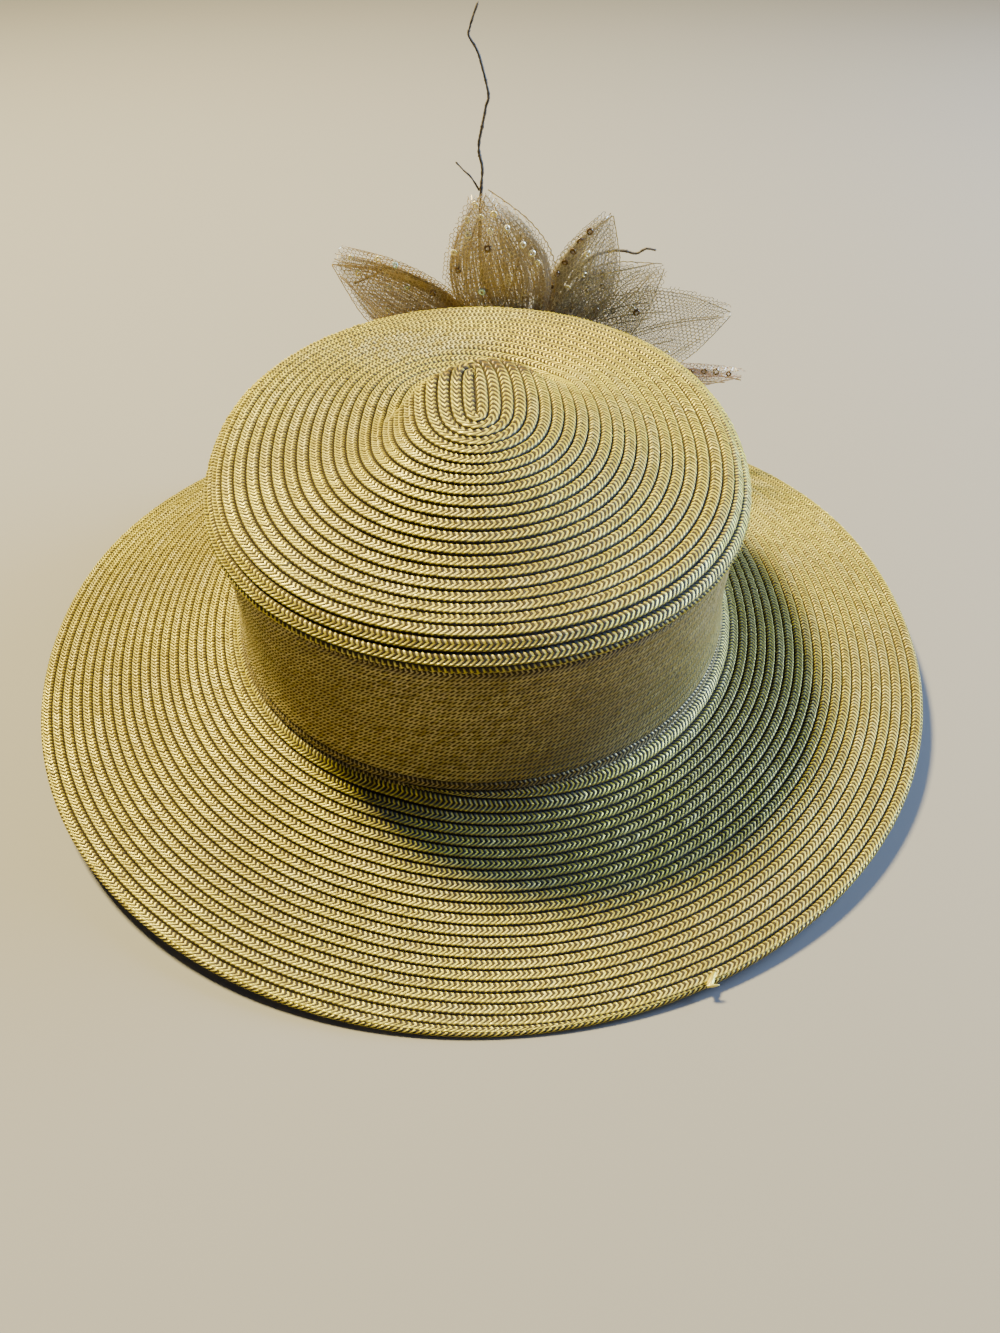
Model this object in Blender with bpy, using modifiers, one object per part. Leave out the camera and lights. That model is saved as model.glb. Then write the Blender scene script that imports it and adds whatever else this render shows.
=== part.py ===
"""Wide brim hat of sewn straw braid, with a net flower and dark twigs on its front.

The hat is modelled with the line where the crown meets the brim level, and then
tipped so that it stands on the front and back of its brim. +Z is up and +Y is
the front, where the flower is.
"""
import math

import bmesh
import bpy
from mathutils import Matrix, Vector

# Crown and brim
HEAD_HALF_WIDTH = 0.0865
OVAL_STRETCH = 0.0125
OVAL_END_SHARE = 0.5
STRAW_WALL = 0.0018
SEAM_GAP = 0.0003
CROWN_HEIGHT = 0.0575
CROWN_WAIST = 0.0014
BRIM_WIDTH = 0.0700
TIP_OVERHANG = 0.0021
TIP_RISE = 0.0225
TIP_DENT_TURN_SHARE = 0.055
TIP_DENT_SPREAD_SHARE = 0.9
TIP_CREST_SHARE = 0.031
TIP_FOLD_SHARE = 0.160
CONTACT_FLAT = 0.0004
COLUMNS = 56

# Flower
FLOWER_SIDE = 0.022
FLOWER_HEIGHT = 0.033
BACKING_RADIUS = 0.021
BACKING_WALL = 0.0015
STEM_RADIUS = 0.0045
BUTTON_RADIUS = 0.0095
BUTTON_HEIGHT = 0.0055
PETAL_LENGTH = 0.080
PETAL_WIDTH = 0.042
PETAL_WALL = 0.0010
PETAL_CUP = 0.0012
PETAL_LEAN = 0.012
PETAL_LEAN_POWER = 1.3
LAYER_STEP = 0.0030
FLOWER_STANDOFF = 0.0009
FLOWER_TURN_SHARE = 0.5
TWIG_RADIUS = 0.0007
TWIG_HEIGHT = 0.1250
TWIG_TAPER_SHARE = 0.35
TWIG_POINTS_PER_SPAN = 2

# Crown tip, from its lip to the middle: the share of the half width that lies
# inside the lip, and the height above the lip as a share of the rise
TIP_BACK = (
    # inset, rise
    (0.000, 0.000),
    (0.032, 0.120),
    (0.062, 0.225),
    (0.100, 0.280),
    (0.170, 0.305),
    (0.260, 0.360),
    (0.350, 0.445),
    (0.440, 0.560),
    (0.540, 0.690),
    (0.640, 0.805),
    (0.730, 0.890),
    (0.820, 0.950),
    (0.910, 0.970),
    (0.975, 0.975),
)

# The same for the front, where a sharp ridge falls away into a dent
TIP_FRONT = (
    # inset, rise
    (0.000, 0.000),
    (0.032, 0.120),
    (0.062, 0.195),
    (0.100, 0.235),
    (0.170, 0.275),
    (0.260, 0.320),
    (0.350, 0.360),
    (0.440, 0.400),
    (0.540, 0.445),
    (0.640, 0.490),
    (0.730, 0.580),
    (0.820, 0.800),
    (0.910, 1.010),
    (0.975, 1.025),
)

# Crest of the tip's ridge, as shares of the head's half width: rightward and forward
TIP_CREST = (
    # right, front
    (-0.694, -0.277),
    (-0.393, -0.046),
    (-0.243, 0.069),
    (-0.104, 0.156),
    (0.035, 0.225),
    (0.173, 0.225),
    (0.324, 0.162),
    (0.694, 0.139),
)

# Crown side, from the brim up: the share of the height, and how far the wall
# draws in as a share of the waist
SIDE_PROFILE = (
    # height, draw
    (0.00, -0.60),
    (0.03, -0.57),
    (0.25, 0.70),
    (0.50, 1.00),
    (0.78, 0.60),
    (1.00, 0.00),
)

# Brim all round: the compass angle from the right side through the front, and
# the height at half the width and at the edge, as shares of the brim's width
BRIM_SECTIONS = (
    # angle, middle, edge
    (0, -0.095, -0.140),
    (45, -0.170, -0.340),
    (90, -0.235, -0.475),
    (135, -0.170, -0.340),
    (180, -0.095, -0.140),
    (225, -0.085, -0.090),
    (270, -0.130, -0.120),
    (315, -0.085, -0.090),
)
BRIM_RINGS = 9

# Petals: clockwise angle from straight up, seen from the back of the hat, then
# length and width as shares, and the layer it is sewn in
PETALS = (
    # name, angle, length, width, layer
    ("petal_left", -62, 1.10, 1.00, 2),
    ("petal_top", -17, 0.87, 1.00, 1),
    ("petal_fold", 28, 0.84, 0.90, 3),
    ("petal_mid_right", 55, 0.85, 0.80, 2),
    ("petal_right", 75, 1.09, 0.95, 1),
    ("petal_low_right", 96, 1.20, 0.50, 3),
    ("petal_under_right", 122, 0.72, 0.70, 2),
    ("petal_under_mid", 151, 0.46, 0.70, 1),
    ("petal_bottom", 180, 0.40, 0.70, 3),
    ("petal_under_left", -148, 0.46, 0.75, 2),
    ("petal_low_left", -118, 0.72, 0.75, 1),
    ("petal_side_left", -90, 0.95, 0.85, 3),
)

# Half width along a petal, from its foot to its point
PETAL_OUTLINE = (
    # along, half width
    (0.00, 0.09),
    (0.12, 0.40),
    (0.28, 0.80),
    (0.45, 1.00),
    (0.62, 0.96),
    (0.78, 0.70),
    (0.90, 0.36),
    (1.00, 0.04),
)

# Twigs: points in the plane of the flower, rightward and up from its middle, as
# shares of the tall twig's height
TWIGS = {
    "twig_tall": (
        # right, up
        (-0.048, 0.088),
        (-0.112, 0.192),
        (-0.144, 0.304),
        (-0.148, 0.416),
        (-0.144, 0.512),
        (-0.140, 0.580),
        (-0.150, 0.632),
        (-0.140, 0.688),
        (-0.128, 0.744),
        (-0.120, 0.772),
        (-0.130, 0.816),
        (-0.152, 0.880),
        (-0.178, 0.916),
        (-0.176, 0.940),
        (-0.152, 1.000),
    ),
    "twig_right": (
        # right, up
        (0.056, 0.084),
        (0.120, 0.224),
        (0.192, 0.320),
        (0.248, 0.348),
        (0.308, 0.352),
        (0.352, 0.342),
        (0.380, 0.356),
        (0.414, 0.350),
    ),
    "twig_left": (
        # right, up
        (-0.092, 0.044),
        (-0.240, 0.152),
        (-0.360, 0.240),
        (-0.448, 0.272),
        (-0.512, 0.240),
        (-0.584, 0.204),
    ),
}

# Finish of each piece: colour, roughness, metallic
FINISHES = {
    "straw": ((0.62, 0.50, 0.22), 0.38, 0.35),
    "net": ((0.60, 0.47, 0.30), 0.60, 0.10),
    "felt": ((0.03, 0.02, 0.02), 0.90, 0.00),
    "twig": ((0.06, 0.035, 0.02), 0.70, 0.00),
}


def smooth_read(table, where, column=1):
    """Value of a column of a table at a place along it, on a smooth curve."""
    last = len(table) - 1
    if where <= table[0][0]:
        return table[0][column]
    if where >= table[last][0]:
        return table[last][column]
    i = next(k for k in range(last) if table[k + 1][0] >= where)

    def slope(k):
        low, high = max(k - 1, 0), min(k + 1, last)
        return (table[high][column] - table[low][column]) / (table[high][0] - table[low][0])

    span = table[i + 1][0] - table[i][0]
    t = (where - table[i][0]) / span
    rise = table[i + 1][column] - table[i][column]
    start, end = slope(i) * span, slope(i + 1) * span
    return (table[i][column] + start * t
            + (3 * rise - 2 * start - end) * t ** 2
            + (start + end - 2 * rise) * t ** 3)


def oval(reach, turn, height=0.0):
    """Point on the oval whose half width is reach, turn radians from the right."""
    lean = math.sin(turn)
    along = lean * math.sqrt(1 + OVAL_END_SHARE ** 2) / math.hypot(lean, OVAL_END_SHARE)
    return Vector((reach * math.cos(turn), reach * lean + OVAL_STRETCH * along, height))


def turns():
    """Angles of the columns of every ring of the hat."""
    return [2 * math.pi * k / COLUMNS for k in range(COLUMNS)]


def ring_mesh(rings):
    """Open surface through closed rings, each a list of points, from first to last."""
    mesh = bmesh.new()
    rows = [[mesh.verts.new(point) for point in ring] for ring in rings]
    count = len(rings[0])
    for low, high in zip(rows, rows[1:]):
        for k in range(count):
            n = (k + 1) % count
            mesh.faces.new((low[k], low[n], high[n], high[k]))
    return mesh, rows


def add_object(name, mesh, finish, parent):
    """Object with its own material, made from a bmesh and parented to the hat."""
    data = bpy.data.meshes.new(name)
    mesh.to_mesh(data)
    mesh.free()
    piece = bpy.data.objects.new(name, data)
    dress(piece, finish, parent)
    return piece


def dress(piece, finish, parent):
    """Give a piece its material, its place in the collection and its parent."""
    colour, roughness, metallic = FINISHES[finish]
    material = bpy.data.materials.new(f"{piece.name}_{finish}")
    material.use_nodes = True
    shader = material.node_tree.nodes["Principled BSDF"]
    shader.inputs["Base Color"].default_value = (*colour, 1)
    shader.inputs["Roughness"].default_value = roughness
    shader.inputs["Metallic"].default_value = metallic
    piece.data.materials.append(material)
    bpy.data.collections["wide_brim_hat"].objects.link(piece)
    piece.parent = parent
    if piece.type == "MESH":
        piece.data.shade_smooth()
        piece.data.set_sharp_from_angle(angle=math.radians(40))


def thicken(piece, wall, inward=True):
    """Turn an open surface into a wall."""
    solid = piece.modifiers.new("wall", "SOLIDIFY")
    solid.thickness = wall
    solid.offset = -1 if inward else 1
    solid.use_even_offset = True


def ease(value, low, high):
    """Smooth step from 0 at low to 1 at high; the other way round where high is less."""
    share = min(max((value - low) / (high - low), 0), 1)
    return share * share * (3 - 2 * share)


def tip_height(turn, inset):
    """Height of the crown tip above its lip, at a share of the way to its middle."""
    lean = math.sin(turn - 2 * math.pi * TIP_DENT_TURN_SHARE)
    front = ease(0.5 + TIP_DENT_SPREAD_SHARE * lean, 0, 1)
    place = oval((HEAD_HALF_WIDTH + TIP_OVERHANG) * (1 - inset), turn) / HEAD_HALF_WIDTH
    beyond = place.y - smooth_read(TIP_CREST, place.x)
    fold = ease(place.x, -0.44, -0.12) * ease(place.x, 0.44, 0.12)
    front += (ease(beyond, -0.046, 0.116) - front) * fold * ease(inset, 0.38, 0.72)
    back_rise = smooth_read(TIP_BACK, inset)
    front_rise = smooth_read(TIP_FRONT, inset)
    crest = TIP_CREST_SHARE * math.exp(-(beyond / 0.058) ** 2)
    drop = TIP_FOLD_SHARE * ease(beyond, -0.006, 0.104) * ease(beyond, 0.51, 0.14)
    return TIP_RISE * (back_rise + (front_rise - back_rise) * front + (crest - drop) * fold)


def crown_tip(parent):
    """Domed top of the crown, whose lip overhangs the side."""
    lip_reach = HEAD_HALF_WIDTH + TIP_OVERHANG
    rings = []
    for inset, _ in TIP_BACK:
        reach = lip_reach * (1 - inset)
        rings.append([oval(reach, turn, CROWN_HEIGHT + tip_height(turn, inset)) for turn in turns()])
    mesh, rows = ring_mesh(rings)
    close_slot(mesh, rows[-1])
    piece = add_object("crown_tip", mesh, "straw", parent)
    thicken(piece, STRAW_WALL)


def close_slot(mesh, ring):
    """Close the long slot in the middle of the tip, from its right side to its left."""
    quarter = COLUMNS // 4
    right = [ring[k % COLUMNS] for k in range(-quarter, quarter + 1)]
    left = [ring[k] for k in range(3 * quarter, quarter - 1, -1)]
    mesh.faces.new((right[0], right[1], left[1]))
    for k in range(1, 2 * quarter - 1):
        mesh.faces.new((right[k], right[k + 1], left[k + 1], left[k]))
    mesh.faces.new((right[-2], right[-1], left[-2]))


def side_top():
    """Height of the crown side, whose outer edge touches the underside of the tip."""
    slope_run = TIP_BACK[1][0] * (HEAD_HALF_WIDTH + TIP_OVERHANG)
    slope = TIP_BACK[1][1] * TIP_RISE / slope_run
    under = (STRAW_WALL + SEAM_GAP) * math.hypot(1, slope)
    return CROWN_HEIGHT + TIP_OVERHANG * slope - under


def wall_reach(height):
    """Outer half width of the crown side at a height above the brim."""
    return side_reach((height - SEAM_GAP) / (side_top() - SEAM_GAP))


def side_reach(share):
    """Outer half width of the crown side at a share of its height."""
    return HEAD_HALF_WIDTH - CROWN_WAIST * smooth_read(SIDE_PROFILE, share)


def crown_side(parent):
    """Upright wall of the crown, standing on the brim."""
    foot = SEAM_GAP
    top = side_top()
    rings = []
    for share, _ in SIDE_PROFILE:
        height = foot + (top - foot) * share
        rings.append([oval(side_reach(share), turn, height) for turn in turns()])
    mesh, _ = ring_mesh(rings)
    piece = add_object("crown_side", mesh, "straw", parent)
    thicken(piece, STRAW_WALL)


def brim_height(turn, share):
    """Height of the brim's top at a share of its width."""
    around = list(BRIM_SECTIONS)
    sections = [(angle + 360 * lap, *heights) for lap in (-1, 0, 1) for angle, *heights in around]
    angle = math.degrees(turn) % 360
    middle = smooth_read(sections, angle, 1)
    edge = smooth_read(sections, angle, 2)
    share = max(share, 0)
    return BRIM_WIDTH * share * ((4 * middle - edge) + (2 * edge - 4 * middle) * share)


def brim_reach(share):
    """Half width of the hat at a share of the brim's width."""
    return side_reach(0) + BRIM_WIDTH * share


def brim(parent, floor_cutter):
    """Brim that passes under the crown side and ends in a free edge."""
    inner = side_reach(0) - STRAW_WALL
    rings = [[oval(inner, turn) for turn in turns()]]
    for k in range(BRIM_RINGS + 1):
        share = k / BRIM_RINGS
        rings.append([oval(brim_reach(share), turn, brim_height(turn, share)) for turn in turns()])
    mesh, _ = ring_mesh(list(reversed(rings)))
    piece = add_object("brim", mesh, "straw", parent)
    thicken(piece, STRAW_WALL)
    cut = piece.modifiers.new("flat_where_it_stands", "BOOLEAN")
    cut.operation = "DIFFERENCE"
    cut.object = floor_cutter


def underside(turn, share):
    """Point of the brim's underside at a share of its width."""
    step = 0.01
    inner, outer = min(share, 1 - step), min(share + step, 1)
    slope = (brim_height(turn, outer) - brim_height(turn, inner)) / (BRIM_WIDTH * (outer - inner))
    normal = Vector((-slope * math.cos(turn), -slope * math.sin(turn), 1)).normalized()
    return oval(brim_reach(share), turn, brim_height(turn, share)) - normal * STRAW_WALL


def lowest_of(turn_list, tilt):
    """Lowest point of the underside along some columns, with the hat tipped by tilt."""
    turned = Matrix.Rotation(tilt, 4, "X")
    shares = [k / (2 * BRIM_RINGS) for k in range(2 * BRIM_RINGS + 1)]
    return min((underside(turn, share) for turn in turn_list for share in shares),
               key=lambda point: (turned @ point).z)


def stance():
    """Matrix that stands the hat on the front and back of its brim."""
    tilt = 0
    tries = 4
    for _ in range(tries):
        front = lowest_of([math.pi / 2], tilt)
        back = lowest_of([-math.pi / 2], tilt)
        tilt = math.atan2(back.z - front.z, front.y - back.y)
    turned = Matrix.Rotation(tilt, 4, "X")
    lowest = (turned @ lowest_of(turns(), tilt)).z
    ends = [turned @ underside(turn, 1) for turn in (math.pi / 2, -math.pi / 2)]
    middle = sum(end.y for end in ends) / 2
    return Matrix.Translation((0, -middle, -lowest - CONTACT_FLAT)) @ turned


def floor_block(cutters):
    """Cutter below the floor, which flattens the brim where it stands."""
    depth = 0.02
    across = 3 * (HEAD_HALF_WIDTH + OVAL_STRETCH + BRIM_WIDTH)
    mesh = bmesh.new()
    bmesh.ops.create_cube(mesh, size=1)
    bmesh.ops.scale(mesh, vec=(across, across, depth), verts=mesh.verts)
    bmesh.ops.translate(mesh, vec=(0, 0, -depth / 2), verts=mesh.verts)
    data = bpy.data.meshes.new("floor_block")
    mesh.to_mesh(data)
    mesh.free()
    block = bpy.data.objects.new("floor_block", data)
    block.hide_render = True
    block.display_type = "WIRE"
    cutters.objects.link(block)
    return block


def flower_turn():
    """Angle on the crown where the flower is sewn."""
    return math.acos(FLOWER_SIDE / side_reach(0.5))


def flower_frame():
    """Matrix of the flower: X right, Y out from the crown, Z up, on the crown's wall."""
    turn = flower_turn()
    seat = oval(wall_reach(FLOWER_HEIGHT), turn, FLOWER_HEIGHT)
    step = math.radians(1)
    along = oval(HEAD_HALF_WIDTH, turn - step) - oval(HEAD_HALF_WIDTH, turn + step)
    face = FLOWER_TURN_SHARE * math.atan2(along.y, along.x)
    frame = Matrix.Rotation(face, 4, "Z")
    frame.translation = seat
    return frame


def flower_backing(parent):
    """Round felt patch that follows the crown, with the flower sewn on it."""
    middle = flower_turn()
    wide = BACKING_RADIUS / HEAD_HALF_WIDTH
    sides, rings = 24, 4

    def patch_point(share, a):
        height = FLOWER_HEIGHT + BACKING_RADIUS * share * math.sin(a)
        turn = middle - wide * share * math.cos(a)
        return oval(wall_reach(height) + 2 * SEAM_GAP, turn, height)

    mesh = bmesh.new()
    rows = [[mesh.verts.new(patch_point(ring / rings, 2 * math.pi * k / sides)) for k in range(sides)]
            for ring in range(1, rings + 1)]
    hub = mesh.verts.new(patch_point(0, 0))
    for k in range(sides):
        n = (k + 1) % sides
        mesh.faces.new((hub, rows[0][n], rows[0][k]))
        for low, high in zip(rows, rows[1:]):
            mesh.faces.new((low[k], low[n], high[n], high[k]))
    piece = add_object("flower_backing", mesh, "felt", parent)
    thicken(piece, BACKING_WALL, inward=False)


def stem_foot():
    """Distance from the crown to the foot of the button's stem."""
    return 3 * SEAM_GAP + BACKING_WALL + FLOWER_STANDOFF


def cone_depth(radius, layer):
    """Distance from the crown to the back of a petal layer, at a radius from the middle."""
    return stem_foot() + LAYER_STEP * (layer - 1) + PETAL_LEAN * (radius / PETAL_LENGTH) ** PETAL_LEAN_POWER


def button_back():
    """Distance from the crown to the back of the button's rim."""
    return cone_depth(BUTTON_RADIUS, 3) + PETAL_WALL + PETAL_CUP + SEAM_GAP


def flower_button(parent):
    """Covered button in the middle of the flower, on a stem that the petals meet."""
    back = button_back()
    profile = [(0.0, back + BUTTON_HEIGHT)]
    steps = 4
    for k in range(1, steps + 1):
        a = math.pi / 2 * k / steps
        profile.append((BUTTON_RADIUS * math.sin(a), back + BUTTON_HEIGHT * math.cos(a)))
    profile += [(STEM_RADIUS, back), (STEM_RADIUS, stem_foot()), (0.0, stem_foot())]
    mesh = bmesh.new()
    verts = [mesh.verts.new((radius, 0, height)) for radius, height in profile]
    for low, high in zip(verts, verts[1:]):
        mesh.edges.new((low, high))
    piece = add_object("flower_button", mesh, "net", parent)
    turned = piece.modifiers.new("turned", "SCREW")
    turned.steps = 16
    turned.render_steps = 16
    turned.use_merge_vertices = True
    turned.merge_threshold = 0.00005
    piece.matrix_local = flower_frame() @ Matrix.Rotation(-math.pi / 2, 4, "X")


def petal_point(row, along, across):
    """Point on the back of a petal, in the flower's own axes."""
    _, angle, length, width, layer = row
    start = STEM_RADIUS + SEAM_GAP
    radius = start + (PETAL_LENGTH * length - start) * along
    side = across * PETAL_WIDTH / 2 * width * smooth_read(PETAL_OUTLINE, along)
    cup = PETAL_CUP * across * across * math.sin(math.pi * along)
    a = math.radians(angle)
    right = radius * math.sin(a) + side * math.cos(a)
    up = radius * math.cos(a) - side * math.sin(a)
    return Vector((right, cone_depth(math.hypot(right, up), layer) + cup, up))


def petal(row, parent):
    """One petal: a thin shell, narrow at its foot and pointed, sewn beside the stem."""
    steps, halves = 8, 3
    mesh = bmesh.new()
    rows = []
    for i in range(steps + 1):
        rows.append([mesh.verts.new(petal_point(row, i / steps, j / halves))
                     for j in range(-halves, halves + 1)])
    for low, high in zip(rows, rows[1:]):
        for k in range(2 * halves):
            mesh.faces.new((low[k], low[k + 1], high[k + 1], high[k]))
    piece = add_object(row[0], mesh, "net", parent)
    piece.matrix_local = flower_frame()
    thicken(piece, PETAL_WALL, inward=False)


def smooth_route(points, per_span):
    """Points on a smooth curve through the given ones."""
    route = []
    for i in range(len(points) - 1):
        before = points[max(i - 1, 0)]
        after = points[min(i + 2, len(points) - 1)]
        for k in range(per_span):
            t = k / per_span
            a, b = points[i], points[i + 1]
            route.append(0.5 * (2 * a + (b - before) * t + (2 * before - 5 * a + 4 * b - after) * t ** 2
                                + (3 * a - before - 3 * b + after) * t ** 3))
    route.append(points[-1])
    return route


def twig(name, points, parent):
    """Thin bent twig, thicker at its foot."""
    clear = PETAL_WALL + PETAL_CUP + SEAM_GAP + TWIG_RADIUS
    foot = Vector(points[0]).normalized() * (BUTTON_RADIUS + SEAM_GAP)
    flat = [foot] + [Vector(point) * TWIG_HEIGHT for point in points[1:]]
    knots = [Vector((right, cone_depth(math.hypot(right, up), 3) + clear, up)) for right, up in flat]
    route = smooth_route(knots, TWIG_POINTS_PER_SPAN)
    data = bpy.data.curves.new(name, "CURVE")
    data.dimensions = "3D"
    data.bevel_depth = TWIG_RADIUS
    data.bevel_resolution = 1
    data.use_fill_caps = True
    spline = data.splines.new("POLY")
    spline.points.add(len(route) - 1)
    for k, (x, y, z) in enumerate(route):
        spline.points[k].co = (x, y, z, 1)
        spline.points[k].radius = 1 - TWIG_TAPER_SHARE * k / len(route)
    piece = bpy.data.objects.new(name, data)
    dress(piece, "twig", parent)
    piece.matrix_local = flower_frame()


def main():
    """Clear the scene and build the hat."""
    for item in list(bpy.data.objects):
        bpy.data.objects.remove(item)
    parts = bpy.data.collections.new("wide_brim_hat")
    cutters = bpy.data.collections.new("cutters")
    for group in (parts, cutters):
        bpy.context.scene.collection.children.link(group)
    hat = bpy.data.objects.new("hat", None)
    parts.objects.link(hat)
    hat.matrix_world = stance()
    block = floor_block(cutters)
    crown_tip(hat)
    crown_side(hat)
    brim(hat, block)
    flower_backing(hat)
    flower_button(hat)
    for row in PETALS:
        petal(row, hat)
    for name, points in TWIGS.items():
        twig(name, points, hat)


main()
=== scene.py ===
"""Looks of the wide brim straw hat: rows of sewn braid, a net flower with sequins, dark twigs.

The straw is modelled strand by strand as long strips of plaited braid that wind
round the crown and the brim. All places are worked out with the line where the
crown meets the brim level, and then tipped to the stance of the CAD hat.
"""
import logging
import math
from dataclasses import dataclass
from enum import Enum
from typing import Callable, Optional, Sequence

import bpy
import numpy as np
from mathutils import Matrix, Vector

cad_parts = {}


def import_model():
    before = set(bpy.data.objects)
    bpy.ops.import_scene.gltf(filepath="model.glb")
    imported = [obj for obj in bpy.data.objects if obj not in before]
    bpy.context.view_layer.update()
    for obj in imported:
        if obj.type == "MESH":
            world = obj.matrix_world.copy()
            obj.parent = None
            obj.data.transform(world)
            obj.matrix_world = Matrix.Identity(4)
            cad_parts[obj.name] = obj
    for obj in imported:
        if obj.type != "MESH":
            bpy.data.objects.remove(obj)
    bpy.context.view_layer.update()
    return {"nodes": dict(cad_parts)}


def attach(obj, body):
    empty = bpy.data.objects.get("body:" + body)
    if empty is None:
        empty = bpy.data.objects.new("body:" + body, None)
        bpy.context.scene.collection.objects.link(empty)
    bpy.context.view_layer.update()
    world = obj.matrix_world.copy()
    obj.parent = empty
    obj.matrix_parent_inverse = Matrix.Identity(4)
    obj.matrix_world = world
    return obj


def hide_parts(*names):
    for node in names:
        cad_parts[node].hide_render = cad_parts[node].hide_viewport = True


Array = np.ndarray
Surface = Callable[[Array, Array], Array]
LOG = logging.getLogger("wide_brim_hat")
MM = 0.001
FULL_TURN = 2 * math.pi


class Side(Enum):
    """Which face of the straw a run of braid dresses."""

    OUTER = 1
    INNER = -1


@dataclass(frozen=True)
class SmoothTable:
    """Table of places and values, read on a smooth curve through them."""

    rows: tuple[tuple[float, float], ...]

    def read(self, where: Array) -> Array:
        """Read the table.

        Args:
            where: Places to read at.

        Returns:
            The values there.
        """
        x, y = np.array(self.rows, dtype=float).T
        low = np.maximum(np.arange(len(x)) - 1, 0)
        high = np.minimum(np.arange(len(x)) + 1, len(x) - 1)
        slope = (y[high] - y[low]) / (x[high] - x[low])
        i = np.clip(np.searchsorted(x, where, side="right") - 1, 0, len(x) - 2)
        span = x[i + 1] - x[i]
        t = np.clip((where - x[i]) / span, 0, 1)
        rise = y[i + 1] - y[i]
        start, end = slope[i] * span, slope[i + 1] * span
        return (y[i] + start * t + (3 * rise - 2 * start - end) * t**2
                + (start + end - 2 * rise) * t**3)


def ease(value: Array, low: float, high: float) -> Array:
    """Smooth step from 0 at low to 1 at high, which may also be less than low."""
    share = np.clip((value - low) / (high - low), 0, 1)
    return share * share * (3 - 2 * share)


@dataclass(frozen=True)
class HatForm:
    """Sizes and surfaces of the hat, as in the CAD solids, in metres."""

    head_half_width: float = 0.0865
    oval_stretch: float = 0.0125
    oval_end_share: float = 0.5
    straw_wall: float = 0.0018
    seam_gap: float = 0.0003
    crown_height: float = 0.0575
    crown_waist: float = 0.0014
    brim_width: float = 0.0700
    tip_overhang: float = 0.0021
    tip_rise: float = 0.0225
    dent_turn: float = 0.055 * FULL_TURN
    dent_spread: float = 0.9
    route_steps: int = 160
    crest_share: float = 0.031
    crest_spread: float = 0.058
    fold_share: float = 0.160
    # Where the fold starts and is full, in shares of the head's half width: towards the
    # middle from each side, forward of the crest, and where its dip ends again in front
    fold_sides: tuple[float, float] = (0.44, 0.12)
    front_from_crest: tuple[float, float] = (-0.046, 0.116)
    dip_from_crest: tuple[float, float] = (-0.006, 0.104)
    dip_end: tuple[float, float] = (0.51, 0.14)
    # Part of the tip, inward from its lip, over which the fold takes over
    fold_inset: tuple[float, float] = (0.38, 0.72)
    foot_rise: float = 0.0032
    foot_reach: float = 0.0065
    stance_tilt: float = 0.07126
    stance_shift: tuple[float, float, float] = (0.0, -0.0011, 0.0224)

    TIP_BACK = SmoothTable((
        (0.000, 0.000), (0.032, 0.120), (0.062, 0.225), (0.100, 0.280), (0.170, 0.305),
        (0.260, 0.360), (0.350, 0.445), (0.440, 0.560), (0.540, 0.690), (0.640, 0.805),
        (0.730, 0.890), (0.820, 0.950), (0.910, 0.970), (0.975, 0.975)))
    TIP_FRONT = SmoothTable((
        (0.000, 0.000), (0.032, 0.120), (0.062, 0.195), (0.100, 0.235), (0.170, 0.275),
        (0.260, 0.320), (0.350, 0.360), (0.440, 0.400), (0.540, 0.445), (0.640, 0.490),
        (0.730, 0.580), (0.820, 0.800), (0.910, 1.010), (0.975, 1.025)))
    SIDE_PROFILE = SmoothTable((
        (0.00, -0.60), (0.03, -0.57), (0.25, 0.70), (0.50, 1.00), (0.78, 0.60), (1.00, 0.00)))
    # Height of the brim round the hat, half way out and at its edge, as shares of its width
    BRIM_ANGLES = (-45, 0, 45, 90, 135, 180, 225, 270, 315, 360, 405)
    BRIM_MIDDLES = (-.085, -.095, -.170, -.235, -.170, -.095, -.085, -.130, -.085, -.095, -.170)
    BRIM_EDGES = (-.090, -.140, -.340, -.475, -.340, -.140, -.090, -.120, -.090, -.140, -.340)
    # Crest of the tip's ridge, as shares of the head's half width: rightward and forward
    CREST = SmoothTable((
        (-0.694, -0.277), (-0.393, -0.046), (-0.243, 0.069), (-0.104, 0.156),
        (0.035, 0.225), (0.173, 0.225), (0.324, 0.162), (0.694, 0.139)))
    # Lip of the tip, past its widest place: how far in and how far down, in metres
    LIP_CURL = ((0.0001, -0.0008), (0.0003, -0.0018), (0.0010, -0.0027), (0.0021, -0.0030))

    def oval(self, reach: Array, turn: Array, height: Array) -> Array:
        """Points on the hat's ovals.

        Args:
            reach: Half widths of the ovals.
            turn: Angles round them in radians, from the right.
            height: Heights above the line where the crown meets the brim.

        Returns:
            Points, one row each.
        """
        lean = np.sin(turn)
        along = lean * math.sqrt(1 + self.oval_end_share**2) / np.hypot(lean, self.oval_end_share)
        return np.stack([reach * np.cos(turn), reach * lean + self.oval_stretch * along,
                         height + 0 * turn], axis=-1)

    def side_reach(self, share: Array) -> Array:
        """Outer half width of the crown side at a share of its height."""
        return self.head_half_width - self.crown_waist * self.SIDE_PROFILE.read(share)

    def brim_surface(self, turn: Array, share: Array) -> Array:
        """Top of the brim.

        Args:
            turn: Angles round the brim.
            share: Shares of its width, from the crown out.

        Returns:
            Points, one row each.
        """
        degrees = np.degrees(turn) % 360
        middle = SmoothTable(tuple(zip(self.BRIM_ANGLES, self.BRIM_MIDDLES))).read(degrees)
        edge = SmoothTable(tuple(zip(self.BRIM_ANGLES, self.BRIM_EDGES))).read(degrees)
        height = self.brim_width * share * ((4 * middle - edge) + (2 * edge - 4 * middle) * share)
        near_foot = 1 - np.minimum(share * self.brim_width / self.foot_reach, 1)
        height = height + self.foot_rise * near_foot**2
        foot = self.side_reach(np.zeros(1))[0]
        return self.oval(foot + self.brim_width * share, turn, height)

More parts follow.
